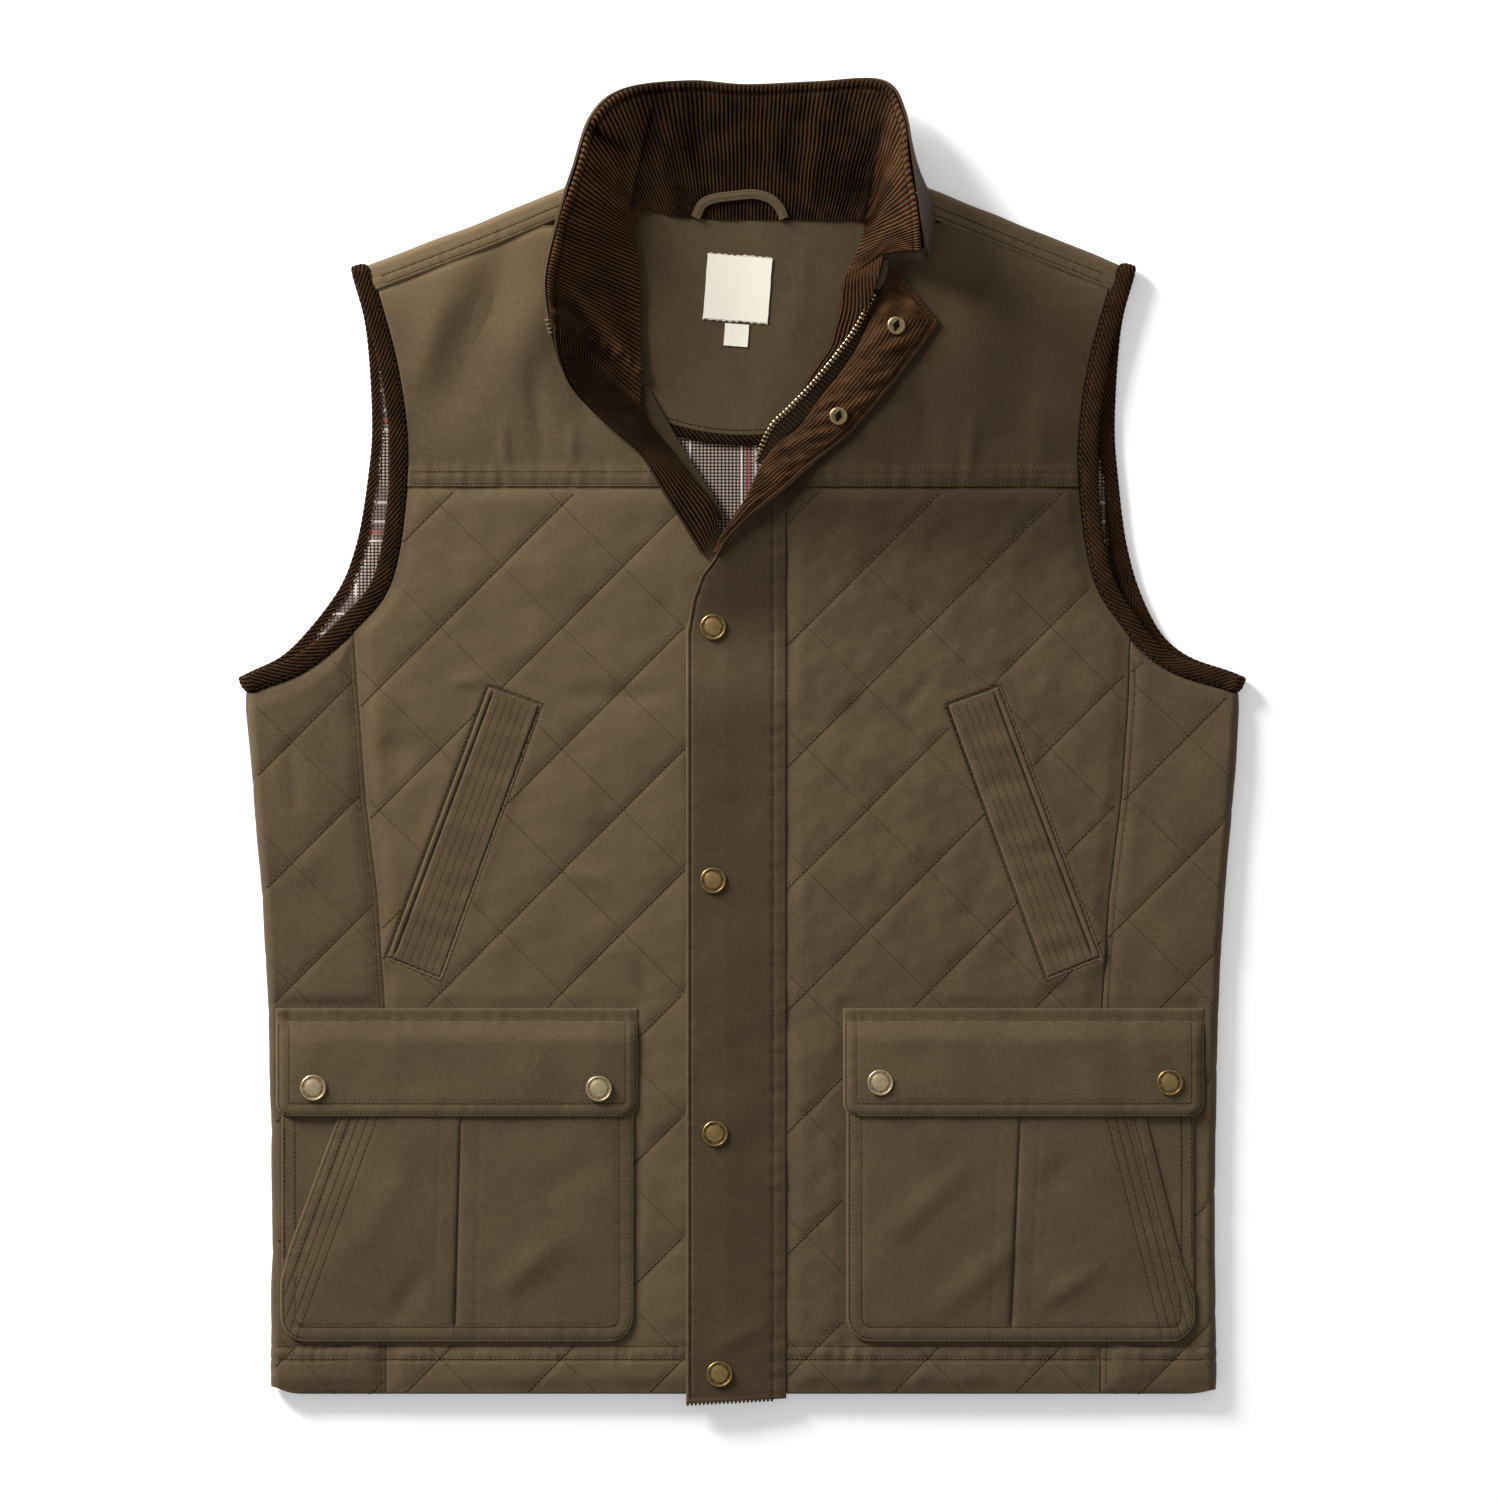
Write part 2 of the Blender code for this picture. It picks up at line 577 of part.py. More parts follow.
def build_placket(cloth):
    """The storm placket, sewn along its right edge and lying over the zip and the left front."""
    left = ((PLACKET_END_Y, PLACKET_LEFT), (62, PLACKET_LEFT), (81, -29.6), (95, -24.6), (104, -17.6),
            (123, -7), (139, 3.9), (146, 6.6))
    grid = []
    for y in (PLACKET_END_Y, -300, -150, 0, 62, 72, 81, 88, 95, 104, 114, 123, 131, 139, YOKE_SEAM_Y - SEAM_GAP):
        edge = value_at(left, y)
        row = [(edge + s * (PLACKET_RIGHT - 0.7 - edge), y) for s in (0, 0.25, 0.5, 0.75, 0.9, 1)]
        slope = (OVERLAY_Z - 8.4) / 13
        grid.append([(x, yy, OVERLAY_Z - max(x - PLACKET_RIGHT + 13, 0) * slope) for x, yy in row])
    wall("placket", grid, PLACKET_WALL, cloth)


def build_collar(outer_cloth, lining_cloth):
    """Collar lining and outer cloth, each lofted through the sections."""
    def path(pick):
        return smooth([pick(section) for section in COLLAR], 3)
    tops = path(lambda section: section.top)
    lining_feet = path(lambda section: section.lining_foot)
    outer_feet = path(lambda section: section.outer_foot)
    sags = path(lambda section: (section.sag, 0, 0))[:, 0]
    ups = np.linspace(0, 1, COLLAR_ROWS)
    lining = np.array([[foot + (top - foot) * v - np.array([0, 0, sag * math.sin(math.pi * v)])
                        for foot, top, sag in zip(lining_feet, tops, sags)] for v in ups])
    wall("collar_lining", [[tuple(p) for p in row] for row in lining], COLLAR_LINING_WALL, lining_cloth)
    around = np.gradient(lining[-1], axis=0)
    upward = lining[-1] - lining[-2]
    normal = np.cross(around, upward)
    normal /= np.linalg.norm(normal, axis=1, keepdims=True)
    rims = tops - normal * 0.8 + upward / np.linalg.norm(upward, axis=1, keepdims=True) * 0.8
    outer = [[tuple(foot + (rim - foot) * v) for foot, rim in zip(outer_feet, rims)] for v in ups]
    wall("collar_outer", outer, COLLAR_OUTER_WALL, outer_cloth, flip=True)


def build_binding(side, cloth):
    """The bias strip round an armhole: along the front, over at both ends, and back underneath."""
    front_z = FRONT_Z + FRONT_WALL / 2
    back_z = BINDING_WALL / 2 + 0.05
    radius = (front_z - back_z) / 2
    front_curve = ARM_FRONT[::-1][::2]
    front_in = inward(ARM_FRONT)[::-1][::2]
    back_curve = ARM_BACK[::2]
    back_in = inward(ARM_BACK)[::2]
    frames = []
    for point, toward in zip(front_curve, front_in):
        frames.append((np.array([*point, front_z]), np.array([*toward, 0]), np.array([0, 0, 1.0]), BINDING_FRONT))

    def turn(start, end, toward_start, toward_end, ahead, from_width, to_width, down):
        for angle in (30, 60, 90, 120, 150):
            share = angle / 180
            a = math.radians(angle)
            plan = start + (end - start) * share + ahead * radius * math.sin(a)
            z = (front_z + back_z) / 2 + radius * math.cos(a) * down
            toward = toward_start + (toward_end - toward_start) * share
            toward = toward / np.linalg.norm(toward)
            face = np.array([*(ahead * math.sin(a)), math.cos(a) * down])
            face = face - np.array([*toward, 0]) * np.dot(face, np.array([*toward, 0]))
            face = face / np.linalg.norm(face)
            width = from_width + (to_width - from_width) * share
            frames.append((np.array([*plan, z]), np.array([*toward, 0]), face, width))

    up_end = front_curve[-1] - front_curve[-2]
    turn(front_curve[-1], back_curve[0], front_in[-1], back_in[0], up_end / np.linalg.norm(up_end),
         BINDING_FRONT, BINDING_BACK, 1)
    for point, toward in zip(back_curve, back_in):
        frames.append((np.array([*point, back_z]), np.array([*toward, 0]), np.array([0, 0, -1.0]), BINDING_BACK))
    out_end = back_curve[-1] - back_curve[-2]
    turn(back_curve[-1], front_curve[0], back_in[-1], front_in[0], out_end / np.linalg.norm(out_end),
         BINDING_BACK, BINDING_FRONT, -1)

    made = bmesh.new()
    rings = []
    half = BINDING_WALL / 2
    for point, toward, face, width in frames:
        outline = ((0, -0.45), (0.0, 0.45), (0.12, 1), (0.88, 1), (1, 0.45), (1, -0.45), (0.88, -1), (0.12, -1))
        ring = [point + toward * width * s + face * half * h for s, h in outline]
        rings.append([made.verts.new([side * p[0] * MM, p[1] * MM, p[2] * MM]) for p in ring])
    for ring, after in zip(rings, rings[1:] + rings[:1]):
        for n in range(len(ring)):
            m = (n + 1) % len(ring)
            made.faces.new((ring[n], ring[m], after[m], after[n]))
    bmesh.ops.recalc_face_normals(made, faces=made.faces[:])
    mesh = bpy.data.meshes.new("binding")
    made.to_mesh(mesh)
    made.free()
    finish("armhole_binding_left" if side == LEFT else "armhole_binding_right", mesh, cloth)


def rounded(low, high, foot, y, radius):
    """Both side edges of a patch at a height, drawn in round its two lower corners."""
    rise = max(radius - (y - foot), 0)
    inset = radius - math.sqrt(max(radius ** 2 - rise ** 2, 0))
    return low + inset, high - inset


def build_pocket(side, cloth):
    """A cargo pocket: flat back, crowned front with one pleat and a slanting edge, and a flap."""
    word = "left" if side == LEFT else "right"
    inner, outer = POCKET_INNER[side], POCKET_OUTER[side]

    def place(grid):
        return grid if side == RIGHT else mirrored(grid)

    corner_ys = [POCKET_FOOT_Y + POCKET_CORNER * s for s in (0, 0.08, 0.3, 0.6, 1)]
    back = []
    for y in corner_ys + [-250, POCKET_TOP_Y]:
        low, high = rounded(inner + 0.5, outer - 0.5, POCKET_FOOT_Y, y, POCKET_CORNER)
        back.append([(low + s * (high - low), y, OVERLAY_Z) for s in (0, 0.5, 1)])
    wall("pocket_back_" + word, place(back), POCKET_BACK_WALL, cloth)

    front_z = OVERLAY_Z + POCKET_BACK_WALL + SEAM_GAP
    front = []
    for y in corner_ys + [-318, -305, -291, -270, -245, -219, -195, POCKET_TOP_Y]:
        low, high = rounded(inner, outer, POCKET_FOOT_Y, y, POCKET_CORNER)
        high = min(high, value_at(POCKET_SLANT[side], y))
        t = (y - POCKET_FOOT_Y) / (POCKET_TOP_Y - POCKET_FOOT_Y)
        top_pleat, foot_pleat = POCKET_PLEAT[side]
        pleat = foot_pleat + (top_pleat - foot_pleat) * t
        xs = [low + (pleat - low) * s for s in (0, 0.06, 0.3, 0.7)]
        xs += [pleat - 1.6, pleat, pleat + 1.6]
        xs += [pleat + (high - pleat) * s for s in (0.3, 0.6, 0.9, 1)]
        row = []
        for x in xs:
            s = (x - low) / (high - low)
            crown = POCKET_CROWN * min(1, 3 * math.sin(math.pi * s)) * min(1, 3 * t, 6 * (1 - t) + 0.4)
            dip = min(PLEAT_DEPTH, crown) if x == pleat else 0
            row.append((x, y, front_z + crown - dip))
        front.append(row)
    wall("pocket_front_" + word, place(front), POCKET_FRONT_WALL, cloth)

    over_z = front_z + POCKET_CROWN + POCKET_FRONT_WALL + SEAM_GAP
    levels = {FLAP_TOP_Y: OVERLAY_Z, FLAP_TOP_Y - 5: OVERLAY_Z, FLAP_TOP_Y - 13: over_z - 0.6}
    flap = []
    corner_ys = [FLAP_FOOT_Y + FLAP_CORNER * s for s in (0, 0.1, 0.35, 1)]
    for y in corner_ys + [-190, FLAP_TOP_Y - 17, FLAP_TOP_Y - 13, FLAP_TOP_Y - 5, FLAP_TOP_Y]:
        low, high = rounded(FLAP_INNER[side], FLAP_OUTER[side], FLAP_FOOT_Y, y, FLAP_CORNER)
        z = levels.get(y, over_z)
        flap.append([(low + s * (high - low), y, z) for s in (0, 0.25, 0.5, 0.75, 1)])
    wall("pocket_flap_" + word, place(flap), FLAP_WALL, cloth)
    return over_z + FLAP_WALL + SEAM_GAP


def build_welt(side, cloth):
    corners = WELT_CORNERS
    if side == RIGHT:
        order = [corners[n] for n in (3, 0, 1, 2)]
        plate("welt_right", order, OVERLAY_Z, WELT_WALL, cloth)
    else:
        order = [(-corners[n][0], corners[n][1]) for n in (0, 3, 2, 1)]
        plate("welt_left", order, OVERLAY_Z, WELT_WALL, cloth)


def build_label(name, centre, size, z, cloth):
    turn = np.array([[math.cos(LABEL_TURN), -math.sin(LABEL_TURN)], [math.sin(LABEL_TURN), math.cos(LABEL_TURN)]])
    corners = []
    for sx, sy in ((-1, -1), (1, -1), (1, 1), (-1, 1)):
        offset = turn @ np.array([sx * size[0] / 2, sy * size[1] / 2])
        corners.append((centre[0] + offset[0], centre[1] + offset[1]))
    plate(name, corners, z, LABEL_WALL, cloth)


def build_loop(cloth):
    """The hanging loop: a flat band in an arch, its ends in the neck seam."""
    curve = smooth(LOOP_PATH, 3)
    along = np.gradient(curve, axis=0)
    outward = np.stack([-along[:, 1], along[:, 0]], axis=1)
    outward /= np.linalg.norm(outward, axis=1, keepdims=True)
    grid = []
    for side in (-0.5, 0, 0.5):
        row = []
        for point, out in zip(curve, outward):
            x, y = point + out * LOOP_WIDTH * side
            row.append((x, y, 6.6 + 0.11 * max(y - BACK_NECK_Y, 0)))
        grid.append(row)
    wall("hanging_loop", grid, LOOP_WALL, cloth)


def build_snaps(brass, flap_tops):
    cap = ((0, SNAP_RISE), (SNAP_RADIUS * 0.72, SNAP_RISE * 0.92), (SNAP_RADIUS, SNAP_RISE * 0.55),
           (SNAP_RADIUS, 0), (0, 0))
    for n, (x, y) in enumerate(PLACKET_SNAPS, 1):
        turned(f"placket_snap_{n}", cap, (x, y, OVERLAY_Z + PLACKET_WALL + SEAM_GAP), brass, closed=False)
    for side, word in ((LEFT, "left"), (RIGHT, "right")):
        for n, (half, y) in enumerate(FLAP_SNAPS[side], 1):
            turned(f"flap_snap_{word}_{n}", cap, (side * half, y, flap_tops[side]), brass, closed=False)
    ring = ((SOCKET_HOLE, SOCKET_RISE), (SOCKET_RADIUS - 1, SOCKET_RISE), (SOCKET_RADIUS, SOCKET_RISE * 0.4),
            (SOCKET_RADIUS, 0), (SOCKET_HOLE, 0))
    for n, place in enumerate(SOCKETS, 1):
        turned(f"snap_socket_{n}", ring, place, brass, closed=True)


def build_vest():
    for old in list(bpy.data.objects):
        bpy.data.objects.remove(old)
    canvas = material("olive_canvas", (0.12, 0.09, 0.055))
    corduroy = material("brown_corduroy", (0.035, 0.02, 0.012))
    check = material("checked_cotton", (0.3, 0.27, 0.24))
    cream = material("cream_label", (0.75, 0.72, 0.62))
    tape = material("zip_tape", (0.03, 0.022, 0.018))
    brass = material("old_brass", (0.35, 0.26, 0.13), 1.0)

    build_back(canvas)
    build_back_yoke(canvas)
    build_inside(check, canvas, corduroy)
    flap_tops = {}
    for side in (LEFT, RIGHT):
        build_front(side, canvas)
        build_front_yoke(side, canvas)
        build_side(side, canvas)
        build_binding(side, corduroy)
        build_welt(side, canvas)
        flap_tops[side] = build_pocket(side, canvas)
    build_placket(canvas)
    build_collar(canvas, corduroy)
    strip("lapel_left", LAPEL_LEFT, LAPEL_WALL, corduroy, 6)
    strip("lapel_right", LAPEL_RIGHT, LAPEL_WALL, corduroy, 6)
    strip("facing_left", FACING_LEFT, FACING_WALL, canvas, 3)
    strip("facing_right", FACING_RIGHT, COLLAR_LINING_WALL, corduroy, 3)
    strip("zip_tape_right", ZIP_RIGHT, ZIP_WALL, tape, 3)
    strip("zip_tape_left", ZIP_LEFT, ZIP_WALL, tape, 2)
    (x0, y0), (x1, y1) = CLOSED_ZIP
    plate("zip_closed", ((x0, y0), (x1, y0), (x1, y1), (x0, y1)), 7.6, 2.0, tape)
    build_loop(canvas)
    label_z = INSIDE_YOKE_Z + INSIDE_YOKE_WALL + SEAM_GAP
    build_label("label", LABEL_CENTRE, LABEL_SIZE, label_z, cream)
    build_label("size_tab", TAB_CENTRE, TAB_SIZE, label_z, cream)
    build_snaps(brass, flap_tops)


build_vest()
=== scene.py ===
"""The looks of a quilted canvas vest with a corduroy collar, laid flat on its back.

Each piece of cloth is a thin shell on the form of its solid, with its quilting, folds and sewing.
Lengths are millimetres until a mesh is made. x runs right, y toward the collar, z up.
"""

import json
import math
from collections import namedtuple

import bmesh
import bpy
import numpy as np
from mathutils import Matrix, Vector

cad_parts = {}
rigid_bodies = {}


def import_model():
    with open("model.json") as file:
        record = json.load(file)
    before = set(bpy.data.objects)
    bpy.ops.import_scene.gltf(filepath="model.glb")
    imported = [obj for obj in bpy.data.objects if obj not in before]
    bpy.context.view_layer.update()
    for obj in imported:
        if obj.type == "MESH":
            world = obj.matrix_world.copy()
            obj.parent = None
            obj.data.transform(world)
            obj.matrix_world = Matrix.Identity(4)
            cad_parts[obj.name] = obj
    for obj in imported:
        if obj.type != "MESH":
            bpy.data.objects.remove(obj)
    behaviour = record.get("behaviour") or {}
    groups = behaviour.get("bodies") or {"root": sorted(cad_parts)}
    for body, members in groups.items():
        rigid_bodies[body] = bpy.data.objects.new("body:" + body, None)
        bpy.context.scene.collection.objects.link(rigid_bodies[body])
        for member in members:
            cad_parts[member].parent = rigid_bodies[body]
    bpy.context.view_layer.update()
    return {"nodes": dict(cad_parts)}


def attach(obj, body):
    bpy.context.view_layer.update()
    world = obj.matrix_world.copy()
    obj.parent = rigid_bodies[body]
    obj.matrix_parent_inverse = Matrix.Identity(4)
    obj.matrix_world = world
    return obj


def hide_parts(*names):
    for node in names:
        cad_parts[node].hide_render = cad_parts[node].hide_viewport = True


for old in list(bpy.data.objects):
    bpy.data.objects.remove(old)
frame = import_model()

# Back body: the large quilted panel that lies on the surface, cotton canvas over thin wadding.
# It is cut in one piece between the two side panels, hemmed at the foot and sewn to the yoke above.
MM = 0.001
SEAM_GAP = 0.3
LEFT, RIGHT = -1, 1
HEM_Y = -375.0
YOKE_SEAM_Y = 146.0
BACK_WALL = 3.4
QUILT_PITCH = 70.0
SIDE_SEAM = ((-376, 205), (-152, 206), (-91, 210), (-34, 217), (55, 223.5), (90, 227))
ARMHOLE_FRONT = ((224, 268), (210, 218), (204, 176), (204.5, 140), (212, 96), (229, 73), (256, 50),
                 (284.5, 38.5))
ARMHOLE_BACK = ((225, 268), (217, 236), (213.5, 184), (215.5, 150), (221, 110), (232, 82), (258, 52),
                (284.5, 38.5))
BINDING_FRONT = 10.6
BINDING_BACK = 7.0
SHARP_ANGLE = math.radians(55)


def linear(code):
    """Linear colour of an sRGB hex value."""
    parts = [int(code[n:n + 2], 16) / 255 for n in (1, 3, 5)]
    return [p / 12.92 if p <= 0.04045 else ((p + 0.055) / 1.055) ** 2.4 for p in parts] + [1.0]


def feed(tree, node, inputs):
    """Fills a node's inputs: each takes a value, a socket, or a node for its first output."""
    for name, value in inputs.items():
        source = value.outputs[0] if isinstance(value, bpy.types.Node) else value
        if isinstance(source, bpy.types.NodeSocket):
            tree.links.new(source, node.inputs[name])
        else:
            node.inputs[name].default_value = source


def add(tree, kind, settings, inputs):
    """Adds a shader node, named without its common start, with its settings and inputs."""
    made = tree.nodes.new("ShaderNode" + kind)
    for name, value in settings.items():
        setattr(made, name, value)
    feed(tree, made, inputs)
    return made


def plain_material(name):
    """A new material with its tree, its shader and the piece's own coordinates."""
    made = bpy.data.materials.new(name)
    made.use_nodes = True
    tree = made.node_tree
    return made, tree, tree.nodes["Principled BSDF"], add(tree, "TexCoord", {}, {}).outputs["Object"]


def canvas_cloth(name, dark, light, worn, shaded):
    """Brushed cotton canvas: faintly slubbed, paler where edges rub and where light is painted on, and darker
    where shade is painted on.
    """
    made, tree, shader, place = plain_material(name)
    thread_mm = 1.1  # the real thread is 0.5 mm, drawn coarser so that it shows
    patch_mm = 30.0
    scale = 1 / (thread_mm * MM)
    weave = []
    for stretch in ((scale, scale * 0.22, scale), (scale * 0.22, scale, scale)):
        run = add(tree, "Mapping", {}, {"Vector": place, "Scale": stretch})
        weave.append(add(tree, "TexNoise", {}, {"Vector": run, "Scale": 1.0, "Detail": 1.5}))
    both = add(tree, "Math", {"operation": "ADD"}, {0: weave[0], 1: weave[1]})
    patches = add(tree, "TexNoise", {}, {"Vector": place, "Scale": 1 / (patch_mm * MM), "Detail": 4.0})
    tone = add(tree, "Math", {"operation": "MULTIPLY_ADD"}, {0: patches, 1: 0.7, 2: -0.45})
    mixed = add(tree, "Math", {"operation": "MULTIPLY_ADD", "use_clamp": True},
                {0: both, 1: 0.6, 2: tone})
    woven = add(tree, "Mix", {"data_type": "RGBA"}, {0: mixed, 6: linear(dark), 7: linear(light)})
    # The "edge" mark mixes in the pale colour: wear at rubbed edges, and painted light on some panels.
    rubbed = add(tree, "Attribute", {"attribute_name": "edge"}, {})
    amount = add(tree, "Math", {"operation": "MULTIPLY"}, {0: rubbed.outputs["Fac"], 1: 0.5})
    colour = add(tree, "Mix", {"data_type": "RGBA"}, {0: amount, 6: woven.outputs[2], 7: linear(worn)})
    # This mark multiplies in the darker tint: painted shade.
    nap_and_painted_shade = add(tree, "Attribute", {"attribute_name": "nap_and_painted_shade"}, {})
    colour = add(tree, "Mix", {"data_type": "RGBA", "blend_type": "MULTIPLY"},
                 {0: nap_and_painted_shade.outputs["Fac"], 6: colour.outputs[2], 7: linear(shaded)})
    relief = add(tree, "Bump", {}, {"Strength": 0.35, "Distance": 0.2 * MM, "Height": both})
    feed(tree, shader, {"Base Color": colour.outputs[2], "Normal": relief, "Roughness": 0.86,
                        "Specular IOR Level": 0.15, "Sheen Weight": 0.05, "Sheen Roughness": 0.6})
    return made


# The third colour serves both worn edges and painted light; the fourth is the tint of painted shade.
CANVAS = canvas_cloth("olive_cotton_canvas", "#3E3221", "#5B4B34", "#6E5C42", "#B3A795")


def smooth(points, parts):
    """Points of a smooth curve through the given ones."""
    given = np.array(points, float)
    padded = np.vstack([2 * given[0] - given[1], given, 2 * given[-1] - given[-2]])
    curve = []
    for before, start, end, after in zip(padded, padded[1:], padded[2:], padded[3:]):
        for t in np.arange(parts) / parts:
            curve.append(0.5 * (2 * start + (end - before) * t
                                + (2 * before - 5 * start + 4 * end - after) * t ** 2
                                + (3 * start - before - 3 * end + after) * t ** 3))
    curve.append(given[-1])
    return np.array(curve)


def unit(vectors):
    return vectors / np.linalg.norm(vectors, axis=-1, keepdims=True)


def inward(curve):
    """Unit normals of an armhole curve in plan, toward the body."""
    along = np.gradient(curve, axis=0)
    normals = np.stack([along[:, 1], -along[:, 0]], axis=1)
    return unit(normals)


ARM_FRONT = smooth(ARMHOLE_FRONT, 12)
ARM_BACK = smooth(ARMHOLE_BACK, 12)
PANEL_FRONT = ARM_FRONT + inward(ARM_FRONT) * (BINDING_FRONT + SEAM_GAP)
PANEL_BACK = ARM_BACK + inward(ARM_BACK) * (BINDING_BACK + SEAM_GAP)


def read(table, key):
    keys, values = np.array(table, float).T
    return np.interp(key, keys, values)


def arm_half(edge, y):
    """Half width of an armhole edge at a height."""
    return np.interp(y, edge[::-1, 1], edge[::-1, 0])


def arm_y(edge, half):
    """Height of an armhole edge over the underarm, where it runs outward."""
    low = int(np.argmin(edge[:, 0]))
    return np.interp(half, edge[low:, 0], edge[low:, 1])


def shell(outer, inner, coarse=4, flip=False, edge=None):
    """A closed wall of cloth: all points of its outer face, fewer of the inner one, and the rim between."""
    rows, cols = outer.shape[:2]
    row_picks = np.unique(np.append(np.arange(0, rows, coarse), rows - 1))
    col_picks = np.unique(np.append(np.arange(0, cols, coarse), cols - 1))
    sparse = inner[np.ix_(row_picks, col_picks)]
    top = np.arange(rows * cols).reshape(rows, cols)
    low = rows * cols + np.arange(sparse.shape[0] * sparse.shape[1]).reshape(sparse.shape[:2])
    faces = np.stack([top[:-1, :-1], top[:-1, 1:], top[1:, 1:], top[1:, :-1]], -1).reshape(-1, 4).tolist()
    faces += np.stack([low[:-1, :-1], low[1:, :-1], low[1:, 1:], low[:-1, 1:]], -1).reshape(-1, 4).tolist()
    borders = ((top[0], low[0], col_picks), (top[:, -1], low[:, -1], row_picks),
               (top[-1, ::-1], low[-1, ::-1], cols - 1 - col_picks[::-1]),
               (top[::-1, 0], low[::-1, 0], rows - 1 - row_picks[::-1]))
    for fine, few, picks in borders:
        for n in range(len(few) - 1):
            bridge = fine[picks[n]:picks[n + 1] + 1][::-1].tolist()
            faces.append([int(few[n]), int(few[n + 1]), *bridge])
    if flip:
        faces = [face[::-1] for face in faces]
    # Marks of the outer face: wear and painted light on canvas, painted light and shade on corduroy.
    rubbed = np.zeros(rows * cols + low.size)
    if edge is not None:
        rubbed[:rows * cols] = np.broadcast_to(edge, (rows, cols)).ravel()
    return np.vstack([outer.reshape(-1, 3), sparse.reshape(-1, 3)]), faces, rubbed


Nudge = namedtuple("Nudge", "x y reach right up below")
NUDGES = (Nudge(-240, 70, 60, -4.2, 0.0, 6), Nudge(243, 62, 26, -3.0, -5.5, 60),
          Nudge(-150, 300, 60, 0.0, -1.7, 60))


def laid(points):
    """Points as the vest was laid down by hand, which pulled its two sides a little apart in shape."""
    moved = points.copy()
    for nudge in NUDGES:
        pull = np.exp(-((points[:, 0] - nudge.x) ** 2 + (points[:, 1] - nudge.y) ** 2) / nudge.reach ** 2)
        pull = pull * np.clip((nudge.below - points[:, 2]) / 2 + 0.5, 0, 1)
        moved[:, 0] += nudge.right * pull
        moved[:, 1] += nudge.up * pull
    return moved


def piece(name, parts, material, mark="edge", nap_and_painted_shade=None):
    """One object from closed meshes in millimetres, shaded smooth but for sharp rims."""
    faces = []
    start = 0
    for corners, sides, _ in parts:
        faces += [[n + start for n in side] for side in sides]
        start += len(corners)
    mesh = bpy.data.meshes.new(name)
    points = np.vstack([part[0] for part in parts])
    mesh.from_pydata(laid(points) * MM, [], faces)
    marks = {mark: np.hstack([part[2] for part in parts])}
    # The share of painted shade, read by the canvas.
    if nap_and_painted_shade is not None:
        marks["nap_and_painted_shade"] = nap_and_painted_shade(points[:, 0], points[:, 1])
    for word, values in marks.items():
        mesh.attributes.new(word, "FLOAT", "POINT").data.foreach_set("value", values)
    mesh.shade_smooth()
    mesh.set_sharp_from_angle(angle=SHARP_ANGLE)
    mesh.materials.append(material)
    made = bpy.data.objects.new(name, mesh)
    bpy.context.scene.collection.objects.link(made)
    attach(made, "root")
    return made


LEAST_CUT = 0.0101
LEAST_FILL = 0.31


def cut(grid):
    """Width, length and area, in metres, of the flat cut that a plain grid of points stands for."""
    across = np.linalg.norm(np.diff(grid, axis=1), axis=2)
    along = np.linalg.norm(np.diff(grid, axis=0), axis=2)
    side_a = grid[1:, 1:] - grid[:-1, :-1]
    side_b = grid[1:, :-1] - grid[:-1, 1:]
    area = np.linalg.norm(np.cross(side_a, side_b), axis=2).sum() / 2
    return across.sum(axis=1).max() * MM, along.sum(axis=0).mean() * MM, area * MM ** 2


def cloth(node, walls, material, plain, mark="edge", nap_and_painted_shade=None):
    """Makes a piece of cloth, hides the solid it stands for and works out its cut."""
    made = piece(node + "_cloth", walls, material, mark, nap_and_painted_shade)
    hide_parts(node)
    width, length, area = cut(plain)
    width = max(width, LEAST_CUT)
    length = max(min(length, area / (LEAST_FILL * width)), LEAST_CUT)


def level(x, y, z):
    """A grid of points from plan places and heights."""
    return np.stack(np.broadcast_arrays(x, y, z), axis=-1).astype(float)


def wadding(x, y, phase, line_mm=1.5, puff_mm=12.0):
    """Share of the wadding's rise: least on the rising lines of stitching, more on the falling ones."""
    rising = np.abs((x - y - phase[0] + QUILT_PITCH / 2) % QUILT_PITCH - QUILT_PITCH / 2) / math.sqrt(2)
    falling = np.abs((x + y - phase[1] + QUILT_PITCH / 2) % QUILT_PITCH - QUILT_PITCH / 2) / math.sqrt(2)
    deep = 1 - 0.35 * np.exp(-rising / line_mm) - 0.36 * np.exp(-rising / puff_mm)
    light = 1 - 0.2 * np.exp(-falling / line_mm) - 0.09 * np.exp(-falling / puff_mm)
    return deep * light


def ease(distance, reach):
    """0 at a seam rising smoothly to 1 at a distance from it."""
    t = np.clip(distance / reach, 0, 1)
    return t * t * (3 - 2 * t)


def back_half(y):
    return np.minimum(read(SIDE_SEAM, y) - SEAM_GAP / 2, arm_half(PANEL_BACK, y))


BACK_GROOVE = 1.1
ys = np.linspace(HEM_Y + 1, YOKE_SEAM_Y - SEAM_GAP, 130)[:, None]
xs = np.linspace(-1, 1, 104) * back_half(ys)
under = level(xs, ys, BACK_GROOVE * (1 - wadding(xs, ys, (0, 0))) ** 2)
back_wall = shell(under, level(xs, ys, BACK_WALL), flip=True)
cloth("back_body", [back_wall], CANVAS, level(xs, ys, 0))

